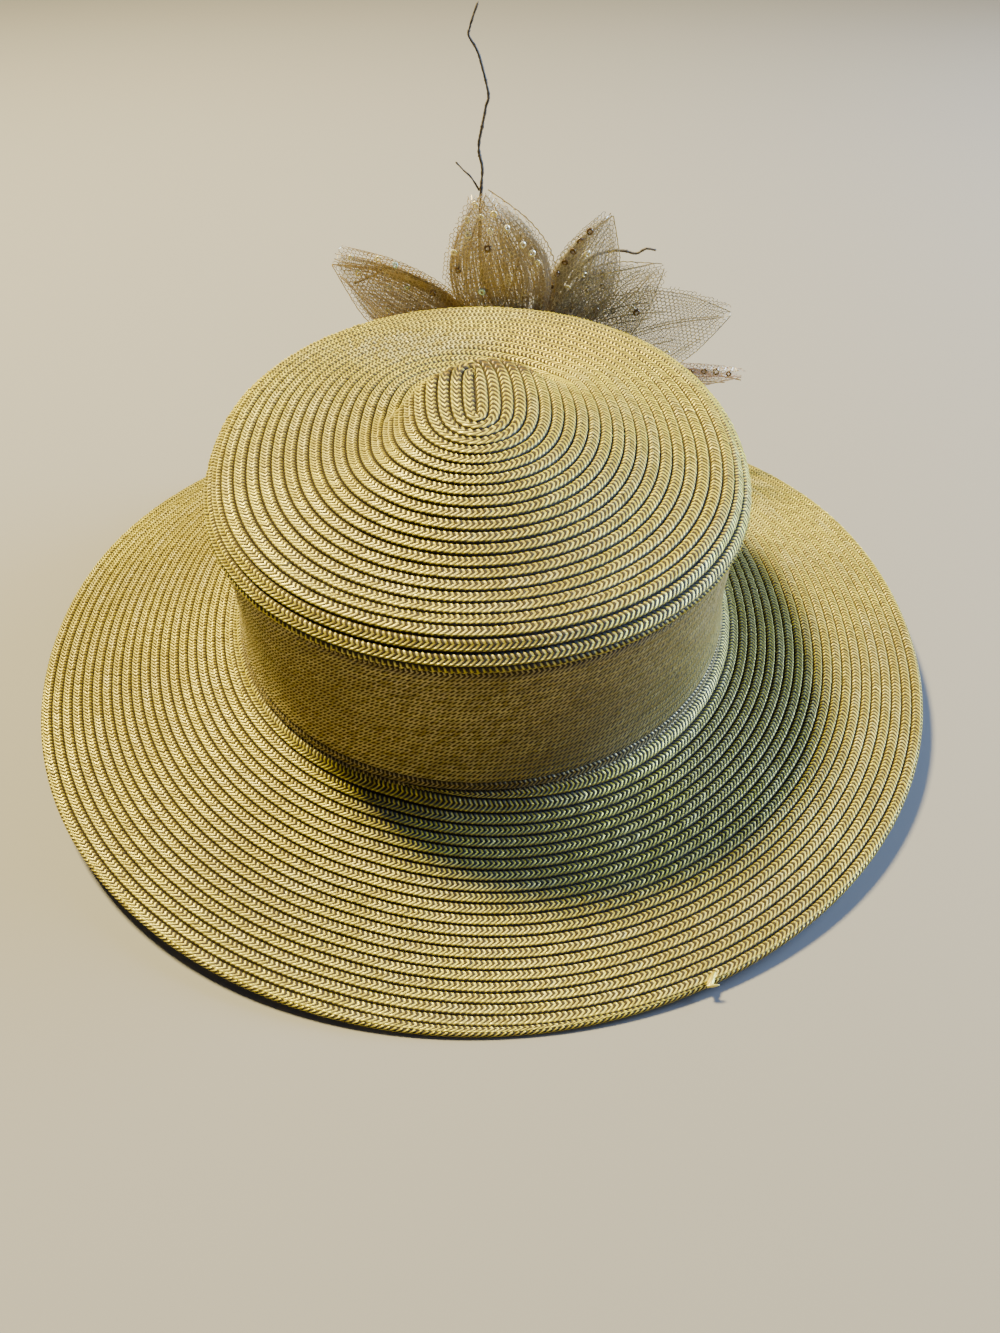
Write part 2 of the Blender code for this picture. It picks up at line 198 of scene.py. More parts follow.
    def side_top(self) -> float:
        """Height of the crown side's top, one seam gap under the tip's wall."""
        slope = self.TIP_BACK.rows[1][1] * self.tip_rise
        slope /= self.TIP_BACK.rows[1][0] * (self.head_half_width + self.tip_overhang)
        under = (self.straw_wall + self.seam_gap) * math.hypot(1, slope)
        return self.crown_height + self.tip_overhang * slope - under

    def side_surface(self, turn: Array, share: Array) -> Array:
        """Outside of the crown side, from its top down by share."""
        up = 1 - share
        height = self.seam_gap + (self.side_top() - self.seam_gap) * up
        return self.oval(self.side_reach(up), turn, height)

    def tip_route(self, table: SmoothTable) -> Array:
        """Route of the tip's surface from the middle over the lip.

        Args:
            table: Profile of the tip, from its lip in.

        Returns:
            Rows of distance along the route, half width and height.
        """
        inset = np.linspace(1, 0, self.route_steps)
        lip = self.head_half_width + self.tip_overhang
        reach = np.append(lip * (1 - inset), [lip - back for back, _ in self.LIP_CURL])
        height = np.append(self.tip_rise * table.read(inset), [drop for _, drop in self.LIP_CURL])
        steps = np.hypot(np.diff(reach), np.diff(height))
        along = np.concatenate([[0], np.cumsum(steps)])
        return np.stack([along / along[-1], reach, self.crown_height + height])

    def tip_surface(self, turn: Array, share: Array) -> Array:
        """Top of the crown, with its crest and fold.

        Args:
            turn: Angles round it.
            share: Shares of the way from its middle over the lip.

        Returns:
            Points, one row each.
        """
        lean = np.clip(0.5 + self.dent_spread * np.sin(turn - self.dent_turn), 0, 1)
        front = lean * lean * (3 - 2 * lean)
        back_route, front_route = self.tip_route(self.TIP_BACK), self.tip_route(self.TIP_FRONT)
        reach = [np.interp(share, route[0], route[1]) for route in (back_route, front_route)]
        height = [np.interp(share, route[0], route[2]) for route in (back_route, front_route)]
        place = self.oval(reach[0], turn, 0.0) / self.head_half_width
        beyond = place[..., 1] - self.CREST.read(place[..., 0])
        fold = ease(-place[..., 0], *self.fold_sides) * ease(place[..., 0], *self.fold_sides)
        inset = 1 - reach[0] / (self.head_half_width + self.tip_overhang)
        folded = fold * ease(inset, *self.fold_inset)
        front = front + (ease(beyond, *self.front_from_crest) - front) * folded
        crest = self.crest_share * np.exp(-(beyond / self.crest_spread)**2)
        drop = self.fold_share * ease(beyond, *self.dip_from_crest) * ease(beyond, *self.dip_end)
        raised = self.tip_rise * (crest - drop) * fold
        return self.oval(reach[0] + (reach[1] - reach[0]) * front, turn,
                         height[0] + (height[1] - height[0]) * front + raised)

    def stance(self) -> Matrix:
        """Matrix that tips the level hat onto the front and back of its brim."""
        return Matrix.Translation(self.stance_shift) @ Matrix.Rotation(self.stance_tilt, 4, "X")

    def stand(self, points: Array) -> Array:
        """Points of the level hat, moved to the stance of the CAD hat."""
        matrix = np.array(self.stance())
        return points @ matrix[:3, :3].T + matrix[:3, 3]


FORM = HatForm()


class Value:
    """A socket of a shader tree on which Python's signs add Math nodes."""

    def __init__(self, tree: bpy.types.NodeTree, socket: bpy.types.NodeSocket) -> None:
        """Wrap a socket of a tree."""
        self.tree = tree
        self.socket = socket

    def math(self, operation: str, *others: "Value | float", swap: bool = False) -> "Value":
        """Add a Math node.

        Args:
            operation: The node's operation.
            others: Its other inputs.
            swap: True where this value is the second input.

        Returns:
            The node's result.
        """
        node = self.tree.nodes.new("ShaderNodeMath")
        node.operation = operation
        inputs = (*others, self) if swap else (self, *others)
        for socket, value in zip(node.inputs, inputs):
            if isinstance(value, Value):
                self.tree.links.new(value.socket, socket)
            else:
                socket.default_value = value
        return Value(self.tree, node.outputs[0])

    def __add__(self, other: "Value | float") -> "Value":
        """Sum."""
        return self.math("ADD", other)

    __radd__ = __add__

    def __sub__(self, other: "Value | float") -> "Value":
        """Difference."""
        return self.math("SUBTRACT", other)

    def __rsub__(self, other: float) -> "Value":
        """Difference from a number."""
        return self.math("SUBTRACT", other, swap=True)

    def __mul__(self, other: "Value | float") -> "Value":
        """Product."""
        return self.math("MULTIPLY", other)

    __rmul__ = __mul__

    def ease(self, low: float, high: float) -> "Value":
        """Smooth step from 0 at low to 1 at high, which may also be less than low.

        Args:
            low: Value that gives 0.
            high: Value that gives 1.

        Returns:
            The step's result.
        """
        start, end = min(low, high), max(low, high)
        node = self.tree.nodes.new("ShaderNodeMapRange")
        node.interpolation_type = "SMOOTHSTEP"
        ends = (0.0, 1.0) if high > low else (1.0, 0.0)
        names = ("From Min", "From Max", "To Min", "To Max")
        for name, number in zip(names, (start, end, *ends)):
            node.inputs[name].default_value = number
        self.tree.links.new(self.socket, node.inputs["Value"])
        return Value(self.tree, node.outputs["Result"])


class Paint:
    """A material in the making: its shader and the nodes that feed it."""

    def __init__(self, name: str, **constants: float) -> None:
        """Start a material.

        Args:
            name: The material's name.
            constants: Numbers set on the shader's sockets, named with _ for a space.
        """
        self.material = bpy.data.materials.new(name)
        self.material.use_nodes = True
        self.tree = self.material.node_tree
        self.shader = self.tree.nodes["Principled BSDF"]
        for socket, number in constants.items():
            self.shader.inputs[socket.replace("_", " ")].default_value = number

    def node(self, kind: str, settings: Optional[dict] = None, inputs: Optional[dict] = None,
             output: "int | str" = 0) -> Value:
        """Add a node.

        Args:
            kind: The node's type, without its ShaderNode prefix.
            settings: The node's own settings; "stops" gives a ramp's places and colours.
            inputs: Values or links of its sockets, by name or number.
            output: The output to give back.

        Returns:
            The chosen output.
        """
        node = self.tree.nodes.new("ShaderNode" + kind)
        for name, setting in (settings or {}).items():
            if name == "stops":
                self.set_stops(node.color_ramp, setting)
            else:
                setattr(node, name, setting)
        for name, value in (inputs or {}).items():
            if isinstance(value, Value):
                self.tree.links.new(value.socket, node.inputs[name])
            else:
                node.inputs[name].default_value = value
        return Value(self.tree, node.outputs[output])

    @staticmethod
    def set_stops(ramp: bpy.types.ColorRamp, stops: Sequence[tuple]) -> None:
        """Set a ramp's stops.

        Args:
            ramp: The ramp.
            stops: A place and a colour for each.
        """
        while len(ramp.elements) < len(stops):
            ramp.elements.new(1.0)
        for element, (place, colour) in zip(ramp.elements, stops):
            element.position = place
            element.color = (*colour, 1)

    def note(self, name: str) -> Value:
        """A number that the mesh keeps for each point."""
        return self.node("Attribute", {"attribute_name": name}, output="Fac")

    def noise(self, scale: float, detail: float = 2.0, where: Optional[Value] = None) -> Value:
        """Soft noise from 0 to 1.

        Args:
            scale: Waves for each metre, or for each unit of where.
            detail: Number of finer layers.
            where: Place to read at; the object's own coordinates where left out.

        Returns:
            The noise.
        """
        place = where or self.node("TexCoord", output="Object")
        return self.node("TexNoise", inputs={"Vector": place, "Scale": scale, "Detail": detail})

    def mix(self, share: "Value | float", first: "Value | tuple",
            second: "Value | tuple") -> Value:
        """Blend two colours.

        Args:
            share: Share of the second, from 0 to 1.
            first: Colour at 0, linked or as red, green and blue.
            second: Colour at 1.

        Returns:
            The blend.
        """
        colours = [part if isinstance(part, Value) else (*part, 1) for part in (first, second)]
        return self.node("Mix", {"data_type": "RGBA", "clamp_result": True},
                         {0: share, 6: colours[0], 7: colours[1]}, output=2)

    def feed(self, socket: str, value: Value) -> None:
        """Link a value to a socket of the shader."""
        self.tree.links.new(value.socket, self.shader.inputs[socket])

    def bump(self, height: Value, depth: float, strength: float = 1.0) -> None:
        """Feed a height to the shader's normal.

        Args:
            height: Height in shares of depth.
            depth: Depth in metres.
            strength: Strength of the relief.
        """
        self.feed("Normal", self.node("Bump", inputs={"Height": height, "Distance": depth,
                                                      "Strength": strength}))


@dataclass(frozen=True)
class Mark:
    """Patch of another tone on the straw: its place, half sizes, tone and strength."""

    place: tuple[float, float, float]
    sizes: tuple[float, float, float]
    tone: tuple[float, float, float]
    strength: float


@dataclass(frozen=True)
class StrawFinish:
    """Shiny plaited straw braid: pale ridges, with painted olive brown shade in the gaps and seams,
    strand by strand.
    """

    name: str
    light: tuple[float, float, float] = (0.98, 0.82, 0.040)
    deep: tuple[float, float, float] = (0.43, 0.33, 0.010)
    blush: tuple[float, float, float] = (1.0, 0.88, 0.34)
    edge: tuple[float, float, float] = (1.0, 0.89, 0.14)
    # Colour of the painted shade in the gaps between strands and the seams between rows
    gap_shade: tuple[float, float, float] = (0.036, 0.022, 0.003)
    roughness: float = 0.32
    patches: float = 0.55
    seamless: float = 0.0
    edge_start: float = 0.72
    edge_fade: float = 0.12
    edge_share: float = 0.35
    dull_chance: float = 0.32
    sheen: float = 0.42
    gloss: float = 0.12
    relief: float = 0.25 * MM
    marks: tuple[Mark, ...] = ()

    # Where each part of a row starts and is full; gaps and seams take painted shade. A strand's
    # ridge is 0.5 from its gap
    GAP = (0.46, 0.20)
    BRIDGE = (0.22, 0.46)
    INNER_SEAM = (0.20, 0.07)
    OUTER_SEAM = (0.91, 0.97)
    STRAND_PARTING = 0.42
    # Noise levels where the patches, clouds and dark fibres start and are full
    PATCH = (0.40, 0.74)
    CLOUD = (0.36, 0.68)
    FIBRE = (0.52, 0.78)
    # Waves of the patches for each strand and row, and of the fibres along and across
    PATCH_WAVES = (0.075, 0.9)
    FIBRE_WAVES = (14.0, 3.0)

    def shades(self, paint: Paint) -> tuple[Value, Value, Value]:
        """Work out the parts of a row of braid.

        Args:
            paint: The material in the making.

        Returns:
            Nearness to a strand's ridge, the pale band by the edge, and the painted shade of the
            gaps and seams.
        """
        strand, across = paint.note("strand"), paint.note("across")
        ridge = (strand.math("FRACT") - 0.5).math("ABSOLUTE")
        band = across.ease(self.edge_start, self.edge_start + self.edge_fade)
        gap_shade = ridge.ease(*self.GAP) * (1 - band * 0.25)
        bridge = ((across * 2.0).math("FRACT") - 0.5).math("ABSOLUTE").ease(*self.BRIDGE)
        gap_shade = gap_shade * (1 - bridge * self.seamless)
        # Painted shade along the seams between rows
        seams = across.ease(*self.INNER_SEAM) + across.ease(*self.OUTER_SEAM)
        return ridge, band, (gap_shade + seams * (1 - self.seamless)).math("MINIMUM", 1.0)

    def chances(self, paint: Paint) -> tuple[Value, Value]:
        """Work out what sets one strand apart from the next.

        Args:
            paint: The material in the making.

        Returns:
            A number from 0 to 1 for each strand, and the streaks of its fibres.
        """
        strand, across, row = (paint.note(name) for name in ("strand", "across", "row"))
        key = paint.node("CombineXYZ", inputs={
            "X": (strand + 0.5).math("FLOOR"), "Y": row.math("FLOOR"),
            "Z": across.math("GREATER_THAN", self.STRAND_PARTING)})
        chance = paint.node("TexWhiteNoise", {"noise_dimensions": "3D"}, {"Vector": key},
                            output="Value")
        along, over = self.FIBRE_WAVES
        place = paint.node("CombineXYZ",
                           inputs={"X": strand * along, "Y": across * over, "Z": row})
        return chance, paint.noise(1.0, 2.0, place)

    def marked(self, paint: Paint, tone: Value, unrest: Value) -> Value:
        """Lay the marks over a tone.

        Args:
            paint: The material in the making.
            tone: The tone.
            unrest: What makes the marks' outlines ragged, around 0.

        Returns:
            The tone with its marks.
        """
        for mark in self.marks:
            middle = FORM.stance() @ Vector(mark.place)
            apart = paint.node("VectorMath", {"operation": "SUBTRACT"},
                               {0: paint.node("TexCoord", output="Object"), 1: middle})
            apart = paint.node("VectorMath", {"operation": "DIVIDE"}, {0: apart, 1: mark.sizes})
            far = paint.node("VectorMath", {"operation": "LENGTH"}, {0: apart}, output="Value")
            tone = paint.mix((far + unrest).ease(1.1, 0.35) * mark.strength, tone, mark.tone)
        return tone

    def make(self) -> bpy.types.Material:
        """Make the material."""
        paint = Paint(self.name, Specular_IOR_Level=0.5, Coat_Roughness=0.26)
        ridge, band, shade = self.shades(paint)
        chance, fibre = self.chances(paint)
        for_strand, for_row = self.PATCH_WAVES
        along = paint.node("CombineXYZ", inputs={"X": paint.note("strand") * for_strand,
                                                 "Y": paint.note("row") * for_row})
        patch = paint.noise(1.0, 3.0, along).ease(*self.PATCH)
        cloud = paint.noise(17.0, 1.0).ease(*self.CLOUD)
        tone = paint.mix(cloud * 0.75, self.light, self.deep)
        tone = paint.mix(patch * self.patches, tone, self.blush)
        tone = self.marked(paint, tone, (chance - 0.5) * 0.5 + (fibre - 0.5) * 0.8)
        dull = (chance - self.dull_chance).math("MAXIMUM", 0.0) * 1.4
        tone = paint.mix(dull, tone, self.deep)
        tone = paint.mix(band * self.edge_share, tone, self.edge)
        # Dark fibres, real streaks in the straw, take the colour of the gap shade
        tone = paint.mix(fibre.ease(*self.FIBRE) * 0.35, tone, self.gap_shade)
        # Painted shade in the gaps between strands and the seams between rows
        paint.feed("Base Color", paint.mix(shade, tone, self.gap_shade))
        rough = shade * 0.5 + chance * 0.14 + self.roughness
        paint.feed("Roughness", rough.math("MINIMUM", 1.0))
        paint.feed("Metallic", (1 - shade) * self.sheen)
        paint.feed("Coat Weight", (1 - shade) * self.gloss)
        height = ridge.ease(0.02, 0.42) * (1 - band * 0.7) + fibre * 0.3
        paint.bump(height, self.relief, 0.9)
        return paint.material


@dataclass(frozen=True)
class NetFinish:
    """Fine stiff net, beige gold and darker towards its foot, with spots of painted highlight."""

    name: str
    tip: tuple[float, float, float]
    foot: tuple[float, float, float]
    # Colour and share of the painted highlight spots
    gleam: tuple[float, float, float] = (0.95, 0.86, 0.66)
    gleam_share: float = 0.5
    metallic: float = 0.25

    def make(self) -> bpy.types.Material:
        """Make the material."""
        paint = Paint(self.name, Roughness=0.42, Metallic=self.metallic)
        reach = paint.note("reach")
        tone = paint.mix(reach.ease(0.15, 0.85), self.foot, self.tip)
        # Noise spots of painted highlight in the gleam colour
        lit = paint.noise(260.0, 2.0).ease(0.45, 0.75)
        tone = paint.mix(lit * self.gleam_share, tone, self.gleam)
        paint.feed("Base Color", tone)
        paint.feed("Roughness", paint.noise(400.0, 1.0) * 0.3 + 0.28)
        return paint.material


@dataclass(frozen=True)
class VeilFinish:
    """Close layers of gathered net seen as one: streaks along the petal, open between."""

    name: str
    tip: tuple[float, float, float]
    foot: tuple[float, float, float]
    closeness: float
    streak_share: float = 0.60
    thread_share: float = 0.40
    open_tip: float = 0.30
    densest: float = 0.95

    # Waves across and along a petal, of the gathered streaks and of the net's cells
    STREAK_WAVES = (34.0, 5.0)
    CELL_WAVES = (60.0, 85.0)
    # Distances from a cell's edge where its thread ends and is full
    THREAD = (0.16, 0.04)

    def place(self, paint: Paint, waves: tuple[float, float]) -> Value:
        """Place on the petal for a pattern with so many waves across and along."""
        return paint.node("CombineXYZ", inputs={"X": paint.note("across") * waves[0],
                                                "Y": paint.note("reach") * waves[1]})

    def make(self) -> bpy.types.Material:
        """Make the material."""
        paint = Paint(self.name, Roughness=0.6, Metallic=0.15)
        reach = paint.note("reach")
        streak = paint.noise(1.0, 4.0, self.place(paint, self.STREAK_WAVES))
        cells = paint.node("TexVoronoi", {"feature": "DISTANCE_TO_EDGE"},
                           {"Vector": self.place(paint, self.CELL_WAVES), "Scale": 1.0},
                           output="Distance")
        pale = reach.ease(0.05, 0.8) * 0.8 + streak.ease(0.5, 0.7) * 0.2
        paint.feed("Base Color", paint.mix(pale, self.foot, self.tip))
        close = streak.ease(0.34, 0.60) * self.streak_share
        close = close + cells.ease(*self.THREAD) * self.thread_share
        fade = reach.ease(1.0, 0.45) * (1 - self.open_tip) + self.open_tip
        cover = close * fade * (2.1 * self.closeness)
        paint.feed("Alpha", cover.math("MINIMUM", self.densest))
        paint.bump(streak, 0.4 * MM, 0.6)
        return paint.material


@dataclass(frozen=True)
class SequinFinish:
    """Small cupped ring sequins, cream gold, some of them dark or bluish."""

    name: str = "ring_sequin"

    # Colours by tint: dark, cream, gold and bluish
    TINTS = (
        (0.00, (0.10, 0.055, 0.025)), (0.30, (0.22, 0.13, 0.06)), (0.36, (1.0, 0.93, 0.72)),
        (0.85, (1.0, 0.86, 0.45)), (0.93, (0.62, 0.88, 1.0)))

    def make(self) -> bpy.types.Material:
        """Make the material."""
        paint = Paint(self.name, Metallic=0.35, Specular_IOR_Level=0.8)
        tone = paint.node("ValToRGB", {"stops": self.TINTS}, {0: paint.note("tint")})
        paint.feed("Base Color", tone)
        paint.feed("Roughness", paint.noise(900.0, 1.0) * 0.2 + 0.12)
        return paint.material


@dataclass(frozen=True)
class TwigFinish:
    """Dark dry twig with fine bark."""

    name: str = "twig_bark"
    dark: tuple[float, float, float] = (0.045, 0.032, 0.024)
    pale: tuple[float, float, float] = (0.16, 0.12, 0.09)

    def make(self) -> bpy.types.Material:
        """Make the material."""
        paint = Paint(self.name, Roughness=0.7)
        bark = paint.noise(900.0, 4.0)
        paint.feed("Base Color", paint.mix(bark.ease(0.35, 0.7), self.dark, self.pale))
        paint.feed("Roughness", bark * 0.4 + 0.45)
        paint.bump(bark, 0.15 * MM)
        return paint.material


@dataclass(frozen=True)
class FeltFinish:
    """Dark pressed felt with loose fibres."""

    name: str = "dark_felt"
    dark: tuple[float, float, float] = (0.018, 0.013, 0.011)
    pale: tuple[float, float, float] = (0.07, 0.055, 0.045)

    def make(self) -> bpy.types.Material:
        """Make the material."""
        paint = Paint(self.name, Roughness=0.95, Sheen_Weight=0.4, Sheen_Roughness=0.6)
        fuzz = paint.noise(1500.0, 5.0)
        paint.feed("Base Color", paint.mix(fuzz.ease(0.4, 0.75), self.dark, self.pale))
        paint.bump(fuzz, 0.35 * MM)
        return paint.material


@dataclass(frozen=True)
class FloorFinish:
    """Plain pale floor."""

    name: str = "pale_floor"
    tone: tuple[float, float, float] = (0.265, 0.245, 0.250)

    def make(self) -> bpy.types.Material:
        """Make the material."""
        paint = Paint(self.name, Roughness=0.85)
        grain = paint.noise(6.0, 3.0)
        worn = tuple(0.86 * part for part in self.tone)
        paint.feed("Base Color", paint.mix(grain * 0.12, self.tone, worn))
        return paint.material


def add_piece(name: str, points: Array, quads: Array, finish: bpy.types.Material,
              notes: Optional[dict[str, Array]] = None, smooth: bool = True) -> bpy.types.Object:
    """Make a piece from points and four-sided faces, and set it riding on the hat.

    Args:
        name: Name of the piece.
        points: Its points, one row each.
        quads: Its faces, four point numbers a row.
        finish: Its material.
        notes: Numbers kept for each point, by name.
        smooth: False for flat facets.

    Returns:
        The piece.
    """
    mesh = bpy.data.meshes.new(name)
    mesh.vertices.add(len(points))
    mesh.vertices.foreach_set("co", np.ascontiguousarray(points, dtype=np.float32).ravel())
    mesh.loops.add(quads.size)
    mesh.loops.foreach_set("vertex_index", quads.astype(np.int32).ravel())
    mesh.polygons.add(len(quads))
    mesh.polygons.foreach_set("loop_start", np.arange(0, quads.size, 4, dtype=np.int32))
    for key, values in (notes or {}).items():
        layer = mesh.attributes.new(key, "FLOAT", "POINT")
        layer.data.foreach_set("value", np.ascontiguousarray(values, dtype=np.float32).ravel())
    mesh.update(calc_edges=True)
    mesh.validate()
    if smooth:
        mesh.shade_smooth()
    mesh.materials.append(finish)
    piece = bpy.data.objects.new(name, mesh)
    bpy.context.scene.collection.objects.link(piece)
    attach(piece, "root")
    return piece


def grid_quads(rows: int, columns: int, closed: bool = False) -> Array:
    """Faces of a grid of points.

    Args:
        rows: Rows of points.
        columns: Points in a row.
        closed: True where each row closes on itself.

    Returns:
        Faces, four point numbers a row.
    """
    last = columns if closed else columns - 1
    i, j = np.meshgrid(np.arange(rows - 1), np.arange(last), indexing="ij")
    after = (j + 1) % columns
    return np.stack([i * columns + j, i * columns + after, (i + 1) * columns + after,
                     (i + 1) * columns + j], axis=-1).reshape(-1, 4)


def normals_of(surface: Surface, turn: Array, row: Array) -> Array:
    """Outward unit normals of a surface that runs outward by row.

    Args:
        surface: The surface, by angle and row.
        turn: Angles.
        row: Rows.

    Returns:
        Normals, one row each.
    """
    step_turn, step_row = 0.002, 0.02
    base = np.maximum(row, 2 * step_row)
    along = surface(turn + step_turn, base) - surface(turn - step_turn, base)
    out = surface(turn, base + step_row) - surface(turn, base - step_row)
    normal = np.cross(out, along)
    return normal / np.maximum(np.linalg.norm(normal, axis=-1, keepdims=True), 1e-12)


# Row numbers of the edge cord and the cut end, which have tones of their own
CORD_ROW = 40.0
CUT_END_ROW = 50.0

# Across a row of braid from its inner seam: the share of its width, the height and
# half the strand relief in millimetres, and the lead of the plait in strands
OUTER_CUT = (
    (0.00, -0.95, 0.00, -0.45),
    (0.14, -0.30, 0.16, -0.32),
    (0.30, 0.30, 0.34, -0.10),
    (0.46, 0.06, 0.20, 0.12),
    (0.64, 0.14, 0.26, -0.25),
    (0.80, 0.30, 0.19, -0.72),
    (0.91, 0.18, 0.08, -1.08),
    (1.00, -0.60, 0.00, -1.20),
)
WALL_CUT = (
    (0.00, -0.06, 0.03, 1.20),
    (0.20, 0.06, 0.20, 0.72),
    (0.45, 0.10, 0.24, 0.12),
    (0.75, 0.08, 0.20, -0.60),
    (1.00, -0.06, 0.03, -1.20),
)
INNER_CUT = (
    (0.00, -0.45, 0.02, -0.45),
    (0.40, 0.12, 0.20, 0.05),
    (1.00, -0.45, 0.02, -0.95),
)


@dataclass(frozen=True)
class BraidRun:
    """One long plaited braid, sewn round and round in rows on a surface."""

    name: str
    surface: Surface
    rows: int
    strand_pitch: float
    cut: tuple[tuple[float, float, float, float], ...]
    seam_turn: float
    seam_share: float
    side: Side = Side.OUTER
    first_row: float = 0.0
    last_row: Optional[float] = None
    coarse_start: float = 0.0
    coarse_lengths: tuple[float, float] = (0.70, 0.12)
    unevenness: float = 0.05
    spare: float = math.radians(6)
    step: float = math.radians(2)

    def row_start(self, winding: Array) -> Array:
        """Row coordinate of the braid's inner edge at an angle wound from its start."""
        turns = winding / FULL_TURN
        whole = np.floor(turns)
        moving = np.clip((turns - whole - (1 - self.seam_share)) / self.seam_share, 0, 1)
        return whole + moving - 1

    def points(self, winding: Array, across: Array, lift: Array) -> Array:
        """Points of the braid.

        Args:
            winding: Angles wound from the braid's start.
            across: Shares of the braid's width.
            lift: Heights over the surface in metres.

        Returns:
            Points, one row each.
        """
        start = self.row_start(winding)
        low = np.clip(start, 0, self.rows)
        high = np.clip(start + 1, 0, self.rows)
        row = low + (high - low) * across
        turn = winding + self.seam_turn
        normal = normals_of(self.surface, turn, row)
        sink = 0.0 if self.side is Side.OUTER else FORM.straw_wall
        height = lift * np.minimum(high - low, 1) * self.side.value - sink
        return self.surface(turn, row) + normal * height[..., None]

    def build(self, finish: bpy.types.Material) -> bpy.types.Object:
        """Build the braid.

        Args:
            finish: Its material.

        Returns:
            The piece.
        """
        last = self.rows if self.last_row is None else self.last_row
        begin = FULL_TURN * max(1 - self.seam_share, self.first_row + 1 - self.seam_share)
        end = FULL_TURN * (last + 1 - (0.0 if last == self.rows else self.seam_share))
        fine = np.arange(begin - self.spare, end + self.spare, self.step)
        middle = self.points(fine, np.full(len(fine), 0.5), np.zeros(len(fine)))
        length = np.concatenate([[0], np.cumsum(np.linalg.norm(np.diff(middle, axis=0), axis=1))])
        pitch = self.strand_pitch * (1 + self.coarse_start * ease(length, *self.coarse_lengths))
        count = np.concatenate([[0], np.cumsum(np.diff(length) / (pitch[1:] + pitch[:-1]) * 2)])
        first, final = np.interp((begin, end), fine, count)
        strands = round(final - first)
        samples = 2 * strands + 1
        across, height, relief, lead = (np.array(column) for column in zip(*self.cut))
        strand = np.arange(samples) / 2
        place = first + (strand[:, None] + lead[None, :]) * (final - first) / strands
        winding = np.interp(place, count, fine)
        ridge = np.where(np.arange(samples) % 2 == 0, 1.0, -1.0)
        random = np.random.default_rng(len(self.name) + self.rows)
        uneven = np.repeat(random.normal(0, self.unevenness, strands + 1), 2)[:samples]
        swell = relief[None, :] * (ridge + 2.5 * uneven)[:, None]
        lift = (height[None, :] + swell + uneven[:, None]) * MM
        share = np.broadcast_to(across, lift.shape)
        points = self.points(winding, share, lift).reshape(-1, 3)
        points = FORM.stand(points)
        points[:, 2] = np.maximum(points[:, 2], 0.0)
        quads = grid_quads(samples, len(across))
        if self.side is Side.OUTER:
            quads = quads[:, ::-1]
        notes = {"strand": np.broadcast_to(strand[:, None], lift.shape), "across": share,
                 "row": self.row_start(winding)}
        return add_piece(self.name, points, quads, finish, notes)


# Brown stain at the crest of the tip, partly painted shadow of the dip behind it, and the tip's
# lemon and whitish patches
TIP_MARKS = (
    Mark((0.010, 0.0175, 0.080), (0.017, 0.0060, 0.010), (0.15, 0.085, 0.001), 1.0),
    Mark((-0.009, 0.0140, 0.080), (0.010, 0.0060, 0.010), (0.18, 0.100, 0.002), 0.95),
    Mark((0.034, 0.056, 0.066), (0.036, 0.026, 0.030), (0.90, 0.68, 0.0), 1.0),
    Mark((-0.020, 0.058, 0.066), (0.030, 0.016, 0.030), (0.70, 0.66, 0.46), 0.50),
)


@dataclass(frozen=True)
class Crown:
    """Crown of the hat: its domed tip and its upright side, outside and inside."""

    tip_rows: int = 24
    side_rows: int = 18
    end_rows: int = 2
    tip_pitch: float = 1.70 * MM
    tip_coarse: float = 0.6
    side_pitch: float = 1.50 * MM
    inside_pitch: float = 2.0 * MM
    seam_turn: float = math.radians(144)
    seam_share: float = 0.30

    def tip(self, turn: Array, row: Array) -> Array:
        """Tip's surface by row, from the middle out."""
        return FORM.tip_surface(turn, row / self.tip_rows)

    def side(self, turn: Array, row: Array) -> Array:
        """Side's surface by row, from the top down."""
        return FORM.side_surface(turn, row / self.side_rows)

    def build(self, finish: bpy.types.Material, knit: bpy.types.Material,
              shaded: bpy.types.Material) -> list[bpy.types.Object]:
        """Build the crown.

        Args:
            finish: Material of the tip.
            knit: Material of the side, its tones darker than the tip's as painted shade.
            shaded: Material of the rows under the lip and at the foot, a darker copy of the braid
                as painted shade.

        Returns:
            The pieces.
        """
        seam = (self.seam_turn, self.seam_share)
        tip = (self.tip, self.tip_rows)
        wall = (self.side, self.side_rows)
        plain = (self.inside_pitch, INNER_CUT, *seam, Side.INNER)
        first, last = self.end_rows, self.side_rows - self.end_rows
        runs = (
            (BraidRun("tip_braid", *tip, self.tip_pitch, OUTER_CUT, *seam,
                      coarse_start=self.tip_coarse), finish),
            (BraidRun("tip_braid_inside", *tip, *plain), finish),
            (BraidRun("side_braid", *wall, self.side_pitch, WALL_CUT, *seam,
                      first_row=first, last_row=last), knit),
            (BraidRun("side_braid_inside", *wall, *plain), finish),
            (BraidRun("side_braid_under_lip", *wall, self.side_pitch, OUTER_CUT, *seam,
                      last_row=first), shaded),
            (BraidRun("side_braid_foot", *wall, self.side_pitch, OUTER_CUT, *seam,
                      first_row=last), shaded))
        made = [run.build(material) for run, material in runs]
        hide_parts("crown_tip")
        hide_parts("crown_side")
        return made


